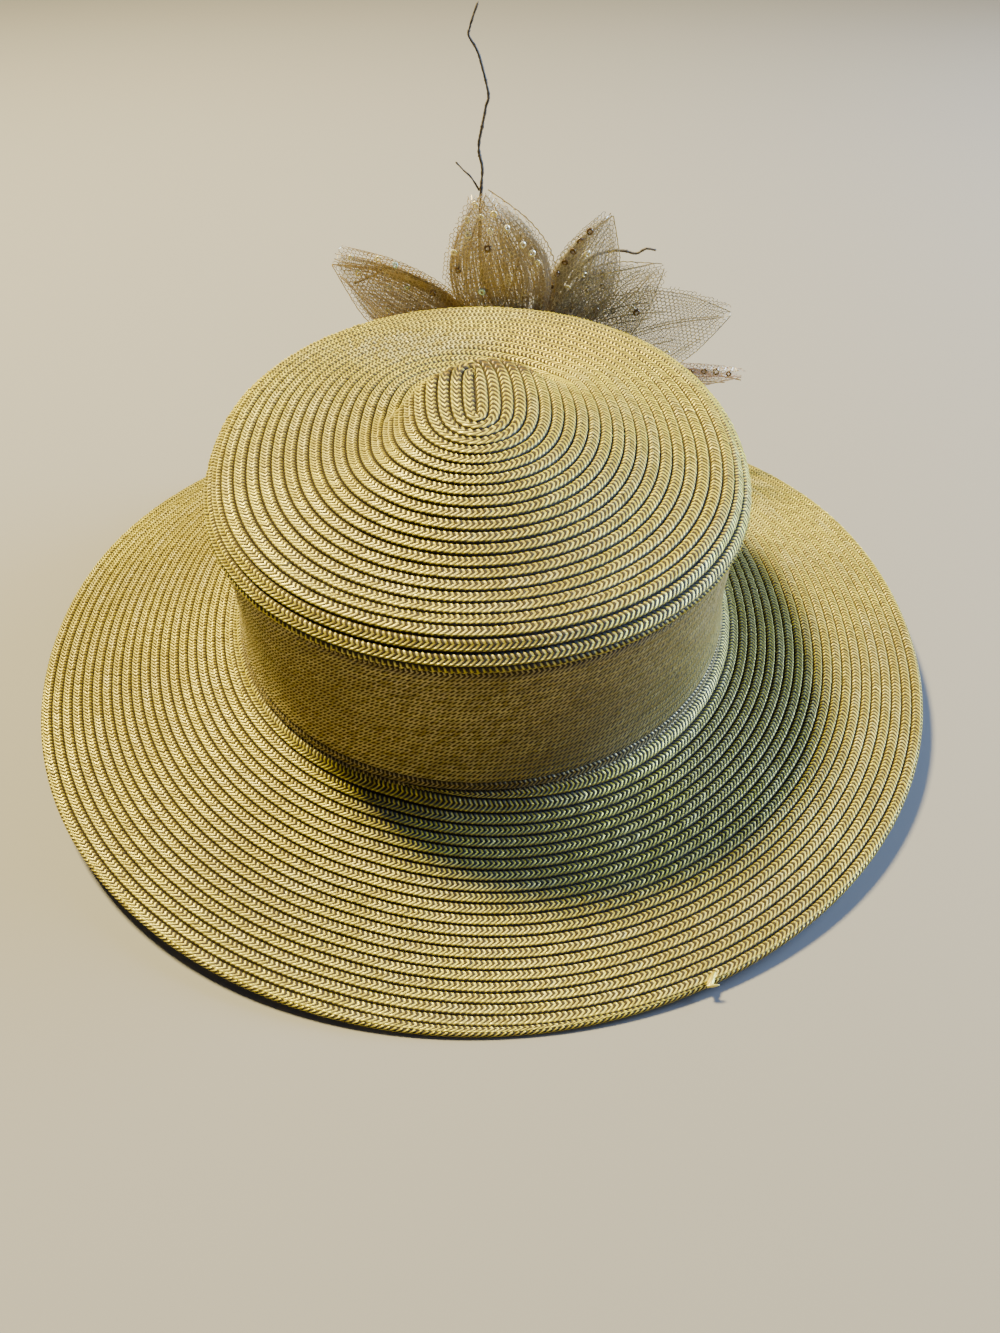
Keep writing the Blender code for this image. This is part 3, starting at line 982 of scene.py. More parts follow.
@dataclass(frozen=True)
class Brim:
    """Brim of the hat: braid above and below, a corded edge and the braid's cut end."""

    rows: int = 21
    pitch: float = 1.55 * MM
    under_pitch: float = 1.8 * MM
    seam_turn: float = math.radians(294)
    seam_share: float = 0.12
    split_row: int = 11
    edge_radius: float = 0.75 * MM
    edge_pitch: float = 1.7 * MM
    edge_lead: float = 0.9
    edge_relief: float = 0.74
    edge_inset: float = 0.2 * MM
    edge_steps: int = 1441
    around: int = 8
    loose_turn: float = math.radians(290.6)
    loose_lift: float = 0.35 * MM
    loose_layer: float = 0.25 * MM
    loose_dome: float = 0.55 * MM

    # Strands of the braid's cut end: start and end along the edge and outward from it,
    # and half width, in millimetres
    END_STRANDS = (
        (3.0, -1.9, -1.5, 0.5, 0.85),
        (1.6, -0.6, -2.0, 1.6, 0.75),
        (-1.9, 1.1, 1.6, 2.3, 0.50),
    )

    def surface(self, turn: Array, row: Array) -> Array:
        """Brim's surface by row, from the crown out."""
        return FORM.brim_surface(turn, row / self.rows)

    def edge(self, finish: bpy.types.Material) -> bpy.types.Object:
        """Build the cord of slanted strands along the free edge.

        Args:
            finish: Material of the braid.

        Returns:
            The piece.
        """
        turns = np.linspace(0, FULL_TURN, self.edge_steps)
        rim = self.surface(turns, np.full(len(turns), float(self.rows)))
        length = np.concatenate([[0], np.cumsum(np.linalg.norm(np.diff(rim, axis=0), axis=1))])
        strands = int(length[-1] / self.edge_pitch)
        samples = 2 * strands
        strand = np.arange(samples) / 2
        around = np.arange(self.around) / self.around
        twist = self.edge_lead * np.sin(FULL_TURN * around)
        place = ((strand[:, None] + twist[None, :]) / strands) % 1 * length[-1]
        turn = np.interp(place, length, turns)
        row = np.full(turn.shape, float(self.rows))
        normal = normals_of(self.surface, turn, row)
        out = self.surface(turn, row + 0.05) - self.surface(turn, row)
        out /= np.linalg.norm(out, axis=-1, keepdims=True)
        ridge = np.where(np.arange(samples) % 2 == 0, 1.0, self.edge_relief)[:, None]
        angle = FULL_TURN * around[None, :]
        centre = self.surface(turn, row) - normal * (FORM.straw_wall / 2) - out * self.edge_inset
        reach = self.edge_radius * ridge
        points = centre + out * (reach * np.cos(angle))[..., None]
        points = points + normal * (1.15 * reach * np.sin(angle))[..., None]
        points = FORM.stand(points.reshape(-1, 3))
        points[:, 2] = np.maximum(points[:, 2], 0.0)
        quads = grid_quads(samples, self.around, closed=True)
        wrap = np.arange(self.around)
        after = (wrap + 1) % self.around
        tail = (samples - 1) * self.around
        joint = np.stack([tail + wrap, tail + after, after, wrap], axis=-1)
        quads = np.concatenate([quads, joint])
        notes = {"strand": np.broadcast_to(strand[:, None], turn.shape),
                 "across": np.full(turn.shape, 0.4),
                 "row": np.full(turn.shape, CORD_ROW)}
        return add_piece("brim_edge_cord", points, quads[:, ::-1], finish, notes)

    def loose_end(self, finish: bpy.types.Material) -> bpy.types.Object:
        """Build the braid's cut end: short pointed strands, turned out over the edge.

        Args:
            finish: Material of the braid.

        Returns:
            The piece.
        """
        steps, sides = 13, 7
        along, across = (part.ravel() for part in np.meshgrid(
            np.linspace(0, 1, steps), np.linspace(-1, 1, sides), indexing="ij"))
        corner = self.surface(np.array([self.loose_turn]), np.array([float(self.rows)]))[0]
        taper = np.sin(math.pi * (0.15 + 0.85 * along)) ** 0.8
        points, quads = [], []
        for number, (start, start_out, end, end_out, half) in enumerate(self.END_STRANDS):
            run, rise = end - start, end_out - start_out
            sideways = half * taper * across / math.hypot(run, rise)
            place = (start + run * along - rise * sideways) * MM
            out = (start_out + rise * along + run * sideways) * MM
            turn = self.loose_turn + place / np.hypot(corner[0], corner[1])
            row = self.rows * (1 + out / FORM.brim_width)
            lift = self.loose_lift + self.loose_layer * number
            lift = lift + self.loose_dome * (1 - across**2) * taper
            normal = normals_of(self.surface, turn, row)
            points.append(self.surface(turn, row) + normal * lift[:, None])
            quads.append(grid_quads(steps, sides)[:, ::-1] + number * len(along))
        strands = np.repeat(np.arange(len(points)) * 3.0, len(along))
        notes = {"strand": strands, "across": np.full(len(strands), 0.5),
                 "row": np.full(len(strands), CUT_END_ROW)}
        points = FORM.stand(np.concatenate(points))
        return add_piece("braid_loose_end", points, np.concatenate(quads), finish, notes)

    def build(self, finish: bpy.types.Material) -> list[bpy.types.Object]:
        """Build the brim.

        Args:
            finish: Material of the braid.

        Returns:
            The pieces.
        """
        whole = (self.surface, self.rows)
        seam = (self.seam_turn, self.seam_share)
        above = (*whole, self.pitch, OUTER_CUT, *seam)
        inner = BraidRun("brim_braid_near_crown", *above, last_row=self.split_row)
        outer = BraidRun("brim_braid_outer", *above, first_row=self.split_row)
        under = BraidRun("brim_braid_under", *whole, self.under_pitch, INNER_CUT, *seam, Side.INNER)
        made = [run.build(finish) for run in (inner, outer, under)]
        made += [self.edge(finish), self.loose_end(finish)]
        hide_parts("brim")
        return made


@dataclass(frozen=True)
class PetalPlan:
    """One petal: where it points, how large it is, and how its net lies."""

    name: str
    angle: float
    length: float
    width: float
    layer: int
    nets: int = 2
    veil: float = 0.5
    fold: Optional[float] = None
    threads: int = 9
    sequins: tuple[tuple[float, float, float], ...] = ()


# Step between the numbers that set the petals' ripples
SEED_STEP = 1.7

# Petals as in the CAD solids; sequins give share along, share across and tint
PETALS = (
    PetalPlan("petal_left", -62, 1.10, 1.00, 2, 3, 0.95, 0.55, 12, (
        (0.80, 0.52, 0.60), (0.72, 0.62, 0.97), (0.70, -0.10, 0.50), (0.62, 0.12, 0.90),
        (0.86, -0.30, 0.70), (0.55, -0.35, 0.10), (0.50, 0.30, 0.20), (0.66, -0.52, 0.55),
        (0.92, 0.10, 0.40), (0.45, 0.05, 0.20),)),
    PetalPlan("petal_top", -17, 0.87, 1.00, 1, 3, 1.00, None, 14, (
        (0.95, -0.10, 0.60), (0.88, -0.55, 0.60), (0.88, 0.10, 0.50), (0.87, 0.62, 0.60),
        (0.80, -0.45, 0.50), (0.79, 0.20, 0.40), (0.78, 0.66, 0.50), (0.72, -0.80, 0.50),
        (0.66, 0.72, 0.50), (0.60, 0.80, 0.50), (0.54, 0.82, 0.50), (0.62, -0.72, 0.20),
        (0.46, -0.35, 0.97), (0.70, 0.00, 0.20),)),
    PetalPlan("petal_fold", 28, 0.84, 0.90, 3, 2, 0.75, -0.45, 9, (
        (0.86, -0.30, 0.10), (0.78, -0.32, 0.10), (0.70, -0.30, 0.05), (0.62, -0.30, 0.00),
        (0.54, -0.30, 0.02), (0.46, -0.32, 0.05), (0.74, 0.05, 0.50), (0.62, 0.22, 0.55),
        (0.50, 0.02, 0.50), (0.55, 0.45, 0.20), (0.42, 0.30, 0.15), (0.66, 0.62, 0.10),
        (0.60, 0.70, 0.10),)),
    PetalPlan("petal_mid_right", 55, 0.85, 0.80, 2, 2, 0.35, None, 9, (
        (0.60, 0.10, 0.10), (0.52, -0.15, 0.10), (0.70, 0.45, 0.60), (0.46, 0.30, 0.55),)),
    PetalPlan("petal_right", 75, 1.09, 0.95, 1, 2, 0.15, None, 12, (
        (0.66, 0.55, 0.60), (0.55, -0.55, 0.10), (0.48, 0.10, 0.50),)),
    PetalPlan("petal_low_right", 96, 1.20, 0.50, 3, 2, 0.70, -0.3, 6, (
        (0.92, -0.10, 0.10), (0.86, -0.15, 0.10), (0.80, -0.10, 0.12), (0.74, 0.00, 0.10),
        (0.68, -0.05, 0.30),)),
    PetalPlan("petal_under_right", 122, 0.72, 0.70, 2, 1, 0.80, None, 5, (
        (0.70, 0.10, 0.50), (0.50, -0.30, 0.60),)),
    PetalPlan("petal_under_mid", 151, 0.46, 0.70, 1, 1, 0.80, None, 4, (
        (0.70, 0.00, 0.50),)),
    PetalPlan("petal_bottom", 180, 0.40, 0.70, 3, 1, 0.80, None, 4, (
        (0.70, 0.10, 0.60),)),
    PetalPlan("petal_under_left", -148, 0.46, 0.75, 2, 1, 0.80, None, 4, (
        (0.70, 0.00, 0.50),)),
    PetalPlan("petal_low_left", -118, 0.72, 0.75, 1, 1, 0.80, None, 5, (
        (0.70, 0.20, 0.50), (0.50, -0.20, 0.20),)),
    PetalPlan("petal_side_left", -90, 0.95, 0.85, 3, 2, 0.80, None, 7, (
        (0.80, 0.10, 0.50), (0.70, -0.40, 0.60), (0.60, 0.40, 0.20),)),
)


@dataclass(frozen=True)
class Flower:
    """Net flower on the front of the crown, with its button, felt patch and twigs."""

    side: float = 0.022
    height: float = 0.033
    backing_wall: float = 0.0015
    stem_radius: float = 0.0045
    button_radius: float = 0.0095
    button_height: float = 0.0055
    petal_length: float = 0.080
    petal_width: float = 0.042
    petal_wall: float = 0.0010
    petal_cup: float = 0.0012
    petal_lean: float = 0.012
    lean_power: float = 1.3
    layer_step: float = 0.0030
    standoff: float = 0.0009
    turn_share: float = 0.5
    twig_radius: float = 0.0007
    twig_height: float = 0.1250
    twig_taper: float = 0.62
    knot_spacing: int = 17
    knot_swell: float = 1.35
    cell: float = 1.5 * MM
    cell_stretch: float = 1.2
    thread_half: float = 0.12 * MM
    thread_steps: int = 15
    edge_steps: int = 46
    layer_gap: float = 0.55 * MM
    fold_back: float = 1.75
    fold_lift: float = 0.9 * MM
    fold_open: float = 2.2 * MM
    net_turn: float = math.radians(2.5)
    pleat_depth: float = 0.35 * MM
    sequin_radius: float = 1.45 * MM
    sequin_sides: int = 14
    sequin_sink: float = 1.1 * MM
    button_sequins: int = 9

    # Ripples of a petal: depth, and waves across, along and for each unit of its seed
    RIPPLES = ((1.1 * MM, 4.2, 2.1, 1), (0.45 * MM, 5, 13, 2))
    # Section of a cupped ring sequin: distance from its middle and height, in radii
    SEQUIN_SECTION = (
        (0.40, 0.10), (0.62, 0.02), (0.90, 0.22), (1.00, 0.30), (0.88, 0.16), (0.60, -0.06),
        (0.40, 0.02))
    OUTLINE = SmoothTable((
        (0.00, 0.09), (0.12, 0.40), (0.28, 0.80), (0.45, 1.00),
        (0.62, 0.96), (0.78, 0.70), (0.90, 0.36), (1.00, 0.04)))
    TALL_TWIG = (
        (-0.048, 0.088), (-0.112, 0.192), (-0.144, 0.304), (-0.148, 0.416), (-0.144, 0.512),
        (-0.140, 0.580), (-0.150, 0.632), (-0.140, 0.688), (-0.128, 0.744), (-0.120, 0.772),
        (-0.130, 0.816), (-0.152, 0.880), (-0.178, 0.916), (-0.176, 0.940), (-0.152, 1.000))
    RIGHT_TWIG = (
        (0.056, 0.084), (0.120, 0.224), (0.192, 0.320), (0.248, 0.348),
        (0.308, 0.352), (0.352, 0.342), (0.380, 0.356), (0.414, 0.350))
    LEFT_TWIG = (
        (-0.092, 0.044), (-0.240, 0.152), (-0.360, 0.240), (-0.448, 0.272), (-0.512, 0.240),
        (-0.584, 0.204))
    FORK = ((-0.150, 0.520), (-0.176, 0.556), (-0.196, 0.572), (-0.224, 0.597))
    SHORT_TWIG = ((-0.080, 0.150), (-0.040, 0.260), (-0.022, 0.330), (-0.019, 0.404))

    def frame(self) -> Matrix:
        """Matrix of the flower: X right, Y out from the crown, Z up."""
        turn = math.acos(self.side / FORM.side_reach(np.array([0.5]))[0])
        head = np.array([FORM.head_half_width])
        near, far = (FORM.oval(head, np.array([turn + step]), 0.0)[0]
                     for step in (-math.radians(1), math.radians(1)))
        along = near - far
        share = (self.height - FORM.seam_gap) / (FORM.side_top() - FORM.seam_gap)
        reach = FORM.side_reach(np.array([share]))
        seat = FORM.oval(reach, np.array([turn]), self.height)[0]
        face = self.turn_share * math.atan2(along[1], along[0])
        matrix = Matrix.Rotation(face, 4, "Z")
        matrix.translation = seat
        return FORM.stance() @ matrix

    def stem_foot(self) -> float:
        """Distance from the crown to the foot of the button's stem."""
        return 3 * FORM.seam_gap + self.backing_wall + self.standoff

    def cone_depth(self, radius: Array, layer: int) -> Array:
        """Distance from the crown to the back of a petal layer at a radius."""
        lean = self.petal_lean * (radius / self.petal_length) ** self.lean_power
        return self.stem_foot() + self.layer_step * (layer - 1) + lean

    def place(self, local: Array) -> Array:
        """Points of the flower's own axes, moved to the hat."""
        matrix = np.array(self.frame())
        return local @ matrix[:3, :3].T + matrix[:3, 3]

    def petal_map(self, plan: PetalPlan, along: Array, across: Array, copy: float,
                  seed: float) -> Array:
        """Points of a petal.

        Args:
            plan: The petal.
            along: Shares of its length.
            across: Shares of its half width.
            copy: Number of the layer of net, from the back.
            seed: Number that sets its ripples.

        Returns:
            Points in the flower's own axes.
        """
        lift = np.zeros_like(across)
        if plan.fold is not None:
            sign = 1.0 if plan.fold > 0 else -1.0
            over = np.maximum(sign * (across - plan.fold), 0)
            across = across - sign * self.fold_back * over
            lift = self.fold_lift * np.minimum(over * 6, 1) + self.fold_open * over
        start = self.stem_radius + FORM.seam_gap
        radius = start + (self.petal_length * plan.length - start) * along
        half = self.petal_width / 2 * plan.width * self.OUTLINE.read(along)
        shift = self.net_turn * (copy - 0.5) * (1 if plan.layer != 2 else -1)
        angle = math.radians(plan.angle) + shift
        side = across * half
        right = radius * math.sin(angle) + side * math.cos(angle)
        up = radius * math.cos(angle) - side * math.sin(angle)
        pleat = self.pleat_depth * np.cos(17 * across + seed) * np.clip(1.4 - along, 0, 1)
        cup = self.petal_cup * across**2 * np.sin(math.pi * np.clip(along, 0, 1))
        depth = self.cone_depth(np.hypot(right, up), plan.layer) + cup + lift + pleat
        for deep, over, out, turned in self.RIPPLES:
            depth = depth + deep * along * np.sin(over * across + out * along + turned * seed)
        return np.stack([right, depth + copy * self.layer_gap, up], axis=-1)

    @staticmethod
    def ribbons(start: Array, end: Array, half: Array) -> tuple[Array, Array]:
        """Flat threads between pairs of points.

        Args:
            start: First ends, one row each.
            end: Second ends.
            half: Half the thickness of each.

        Returns:
            Points and faces.
        """
        away = end - start
        face = np.array([0.0, 1.0, 0.0])
        sideways = np.cross(away, face)
        sideways /= np.maximum(np.linalg.norm(sideways, axis=-1, keepdims=True), 1e-9)
        sideways *= np.broadcast_to(half, len(start))[:, None]
        corners = (start - sideways, start + sideways, end + sideways, end - sideways)
        points = np.stack(corners, axis=1)
        return points.reshape(-1, 3), np.arange(4 * len(start)).reshape(-1, 4)

    def honeycomb(self, plan: PetalPlan, cell: float, shift: float) -> tuple[Array, Array]:
        """Threads of the net in a petal's shares along and across.

        Args:
            plan: The petal.
            cell: Width of a cell of the net.
            shift: Part of a cell by which the net is moved.

        Returns:
            First and second ends, rows of share along and share across.
        """
        long = self.petal_length * plan.length - self.stem_radius
        edge = cell / math.sqrt(3) * self.cell_stretch
        rows = int(long / (1.5 * edge)) + 2
        columns = int(self.petal_width * plan.width / cell) + 2
        around = np.arange(-columns // 2, columns // 2 + 1)
        j, i = np.meshgrid(np.arange(rows), around, indexing="ij")
        x = (i + (j % 2) / 2 + shift) * cell
        y = (j + shift) * 1.5 * edge
        low = np.stack([y, x], axis=-1)
        high = np.stack([y + edge, x], axis=-1)
        left = np.stack([y + 1.5 * edge, x - cell / 2], axis=-1)
        right = np.stack([y + 1.5 * edge, x + cell / 2], axis=-1)
        starts = np.concatenate([low, high, high]).reshape(-1, 2)
        ends = np.concatenate([high, left, right]).reshape(-1, 2)
        shares = []
        for end in (starts, ends):
            along = end[:, 0] / long
            half = self.petal_width / 2 * plan.width * self.OUTLINE.read(np.clip(along, 0, 1))
            shares.append(np.stack([along, end[:, 1] / half], axis=-1))
        inside = [(np.abs(part[:, 1]) < 1.0) & (part[:, 0] > 0.03) & (part[:, 0] < 1)
                  for part in shares]
        keep = inside[0] & inside[1]
        return shares[0][keep], shares[1][keep]

    def net(self, plan: PetalPlan, seed: float) -> tuple[Array, Array, Array]:
        """Threads of a petal: its layers of net, its gathered threads and its edge.

        Args:
            plan: The petal.
            seed: Number that sets its ripples.

        Returns:
            Points, faces, and the share along for each point.
        """
        random = np.random.default_rng(int(seed * 100))
        starts, ends, halves, reach = [], [], [], []

        def add(low: Array, high: Array, copy: float, half: float) -> None:
            """Add threads between pairs of places on a layer of net."""
            starts.append(self.petal_map(plan, low[:, 0], low[:, 1], copy, seed))
            ends.append(self.petal_map(plan, high[:, 0], high[:, 1], copy, seed))
            halves.append(np.full(len(low), half))
            reach.append((low[:, 0] + high[:, 0]) / 2)

        for copy in range(plan.nets):
            low, high = self.honeycomb(plan, self.cell * (1 + 0.07 * copy), 0.37 * copy)
            add(low, high, copy, self.thread_half)
        for k in range(plan.threads):
            across = -0.9 + 1.8 * (k + random.uniform(0.2, 0.8)) / plan.threads
            last = random.uniform(0.55, 0.98)
            along = np.linspace(random.uniform(0.04, 0.25), last, self.thread_steps)
            bend = across * (1 - 0.25 * along) + 0.04 * np.sin(9 * along + k)
            line = np.stack([along, np.clip(bend, -0.97, 0.97)], axis=-1)
            half = self.thread_half * random.uniform(1.2, 2.4)
            add(line[:-1], line[1:], plan.nets - 0.5, half)
        along = np.linspace(0.05, 0.995, self.edge_steps)
        for sign in (-1.0, 1.0):
            ragged = sign * (0.985 + 0.012 * (-1.0) ** np.arange(len(along)))
            line = np.stack([along, ragged], axis=-1)
            add(line[:-1], line[1:], plan.nets - 1, self.thread_half * 1.7)
        if plan.fold is not None:
            line = np.stack([along, np.full(len(along), plan.fold)], axis=-1)
            add(line[:-1], line[1:], plan.nets - 0.6, self.thread_half * 2.4)
        points, quads = self.ribbons(*(np.concatenate(part) for part in (starts, ends, halves)))
        return points, quads, np.repeat(np.concatenate(reach), 4)

    def veil(self, plan: PetalPlan, seed: float, finish: bpy.types.Material) -> bpy.types.Object:
        """Build the close gathered net of a petal, as one sheet.

        Args:
            plan: The petal.
            seed: Number that sets its ripples.
            finish: Its material.

        Returns:
            The piece.
        """
        steps, sides = 36, 24
        along, across = (part.ravel() for part in np.meshgrid(
            np.linspace(0.02, 0.97, steps), np.linspace(-0.95, 0.95, sides), indexing="ij"))
        points = self.place(self.petal_map(plan, along, across, plan.nets / 2 - 0.25, seed))
        notes = {"reach": along, "across": across + seed}
        return add_piece(f"{plan.name}_veil", points, grid_quads(steps, sides), finish, notes)

    def rings(self, centres: Array, tints: Array, seed: int) -> tuple[Array, Array, Array]:
        """Cupped ring sequins.

        Args:
            centres: Their middles, in the flower's own axes.
            tints: Their tints.
            seed: Seed of their tilts.

        Returns:
            Points, faces, and the tint for each point.
        """
        random = np.random.default_rng(seed)
        around = np.arange(self.sequin_sides) / self.sequin_sides * FULL_TURN
        ring = np.array([[r * math.cos(a), d, r * math.sin(a)]
                         for a in around for r, d in self.SEQUIN_SECTION])
        points, quads = [], []
        face = grid_quads(self.sequin_sides + 1, len(self.SEQUIN_SECTION), closed=True) % len(ring)
        for k, centre in enumerate(centres):
            tilt = Matrix.Rotation(random.uniform(-0.5, 0.5), 3, "X")
            tilt = tilt @ Matrix.Rotation(random.uniform(-0.5, 0.5), 3, "Z")
            size = self.sequin_radius * random.uniform(0.85, 1.1)
            points.append(centre + size * ring @ np.array(tilt).T)
            quads.append(face + k * len(ring))
        return np.concatenate(points), np.concatenate(quads), np.repeat(tints, len(ring))

    def petal(self, plan: PetalPlan, seed: float, nets: bpy.types.Material,
              veils: bpy.types.Material) -> list[bpy.types.Object]:
        """Build one petal.

        Args:
            plan: The petal.
            seed: Number that sets its ripples.
            nets: Material of its threads.
            veils: Material of its gathered net.

        Returns:
            Its net and its veil.
        """
        points, quads, reach = self.net(plan, seed)
        net = add_piece(f"{plan.name}_net", self.place(points), quads, nets, {"reach": reach},
                        smooth=False)
        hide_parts(plan.name)
        made = [net, self.veil(plan, seed, veils)]
        return made

    def sequins(self, finish: bpy.types.Material) -> bpy.types.Object:
        """Build the ring sequins of every petal and of the button.

        Args:
            finish: Their material.

        Returns:
            The piece.
        """
        centres, tints = [], []
        for k, plan in enumerate(PETALS):
            table = np.array(plan.sequins)
            places = self.petal_map(plan, table[:, 0], table[:, 1], 0.5, SEED_STEP * k)
            centres.append(places - np.array([0, self.sequin_sink, 0]))
            tints.append(table[:, 2])
        number = np.arange(self.button_sequins)
        turn = number * 2.4
        reach = self.button_radius * np.sqrt((number + 0.3) / (self.button_sequins + 1))
        dome = self.button_height * np.sqrt(1 - (reach / self.button_radius) ** 2)
        depth = self.button_back() + dome + 0.4 * MM
        centres.append(np.stack([reach * np.cos(turn), depth, reach * np.sin(turn)], axis=-1))
        tints.append(0.35 + 0.06 * number)
        points, quads, tint = self.rings(np.concatenate(centres), np.concatenate(tints), 5)
        piece = add_piece("ring_sequins", self.place(points), quads, finish, {"tint": tint})
        return piece

    def button_back(self) -> float:
        """Distance from the crown to the back of the button's rim."""
        rim = float(self.cone_depth(np.array([self.button_radius]), 3)[0])
        return rim + self.petal_wall + self.petal_cup + FORM.seam_gap

    def button(self, finish: bpy.types.Material) -> bpy.types.Object:
        """Build the button: pleated net drawn over a dome, on its stem.

        Args:
            finish: Its material.

        Returns:
            The piece.
        """
        back, foot = self.button_back(), self.stem_foot()
        profile = [(0.01, back + self.button_height)]
        profile += [(math.sin(a), back + self.button_height * math.cos(a))
                    for a in np.linspace(0.18, 1.57, 9)]
        profile += [(0.80, back - 0.2 * MM), (0.48, back), (0.46, (back + foot) / 2), (0.46, foot)]
        around = 72
        turn = np.arange(around) / around * FULL_TURN
        points, reach = [], []
        for share, depth in profile:
            pleat = 1 + 0.035 * share * np.cos(18 * turn) * (depth > foot)
            radius = self.button_radius * share * pleat
            ring = [radius * np.cos(turn), np.full(around, depth), radius * np.sin(turn)]
            points.append(np.stack(ring, axis=-1))
            reach.append(np.full(around, 0.2 + 0.5 * share))
        quads = grid_quads(len(profile), around, closed=True)
        piece = add_piece("button_net", self.place(np.concatenate(points)), quads, finish,
                          {"reach": np.concatenate(reach)})
        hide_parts("flower_button")
        return piece

    def twig(self, name: str, routes: Sequence[Sequence[tuple[float, float]]],
             finish: bpy.types.Material, seed: int) -> bpy.types.Object:
        """Build a twig as tubes of uneven thickness, with knots.

        Args:
            name: Name of the CAD node that it replaces.
            routes: Routes of its stems, rightward and up, as shares of the twigs' height.
            finish: Its material.
            seed: Seed of its unevenness.

        Returns:
            The piece.
        """
        random = np.random.default_rng(seed)
        sides, points, quads = 9, [], []
        clear = self.petal_wall + self.petal_cup + FORM.seam_gap + self.twig_radius
        for number, route in enumerate(routes):
            knots = np.array(route) * self.twig_height
            if number == 0:
                knots[0] *= (self.button_radius + FORM.seam_gap) / np.hypot(*knots[0])
            where = np.linspace(0, len(knots) - 1, 12 * (len(knots) - 1) + 1)
            line = [SmoothTable(tuple(enumerate(column))).read(where) for column in knots.T]
            depth = self.cone_depth(np.hypot(*line), 3) + clear
            path = np.stack([line[0], depth, line[1]], axis=-1)
            wobble = np.cumsum(random.normal(0, 0.03 * MM, (len(path), 3)), axis=0)
            path = path + wobble - np.linspace(0, 1, len(path))[:, None] * wobble[-1]
            ahead = np.gradient(path, axis=0)
            ahead /= np.linalg.norm(ahead, axis=-1, keepdims=True)
            side = np.cross(ahead, [0.0, 1.0, 0.0])
            side /= np.linalg.norm(side, axis=-1, keepdims=True)
            rise = np.cross(side, ahead)
            foot = self.twig_radius * (1 if number == 0 else self.twig_taper)
            thick = foot * np.linspace(1, self.twig_taper, len(path))
            thick *= 1 + 0.10 * random.standard_normal(len(path))
            thick[::self.knot_spacing] *= self.knot_swell
            thick[-1] *= 0.3
            turn = np.arange(sides) / sides * FULL_TURN
            ring = np.cos(turn)[None, :, None] * side[:, None]
            ring = ring + np.sin(turn)[None, :, None] * rise[:, None]
            before = sum(len(part) for part in points)
            quads.append(grid_quads(len(path), sides, closed=True) + before)
            points.append((path[:, None] + ring * thick[:, None, None]).reshape(-1, 3))
        piece = add_piece(f"{name}_bark", self.place(np.concatenate(points)),
                          np.concatenate(quads), finish)
        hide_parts(name)
        return piece

    def build(self, patch: bpy.types.Object) -> list[bpy.types.Object]:
        """Build the flower.

        Args:
            patch: The CAD model's felt patch, which stays.

        Returns:
            The pieces.
        """
        warm = NetFinish("net_warm", (0.70, 0.54, 0.33), (0.22, 0.130, 0.055))
        cool = NetFinish("net_cool", (0.68, 0.60, 0.50), (0.22, 0.155, 0.090))
        rosy = NetFinish("net_rosy", (0.66, 0.47, 0.40), (0.27, 0.160, 0.110))
        tones = {"petal_fold": cool, "petal_mid_right": cool, "petal_right": cool,
                 "petal_low_right": rosy}
        paints = {finish.name: finish.make() for finish in (warm, cool, rosy)}
        made = []
        for k, plan in enumerate(PETALS):
            finish = tones.get(plan.name, warm)
            tip = tuple(0.64 * part for part in finish.tip)
            foot = tuple(0.8 * part for part in finish.foot)
            veil = VeilFinish(f"{plan.name}_gathered", tip, foot, plan.veil).make()
            made += self.petal(plan, SEED_STEP * k, paints[finish.name], veil)
        made += [self.button(paints["net_warm"]), self.sequins(SequinFinish().make())]
        bark = TwigFinish().make()
        tall = (self.TALL_TWIG, self.FORK, self.SHORT_TWIG)
        twigs = (("twig_tall", tall, 3), ("twig_right", (self.RIGHT_TWIG,), 4),
                 ("twig_left", (self.LEFT_TWIG,), 6))
        made += [self.twig(name, routes, bark, seed) for name, routes, seed in twigs]
        patch.material_slots[0].material = FeltFinish().make()
        return made


@dataclass(frozen=True)
class Lamp:
    """Soft square lamp: its place and size in metres, its power in watts and its colour."""

    name: str
    place: tuple[float, float, float]
    size: float
    power: float
    tone: tuple[float, float, float]
    only_glints: bool = False


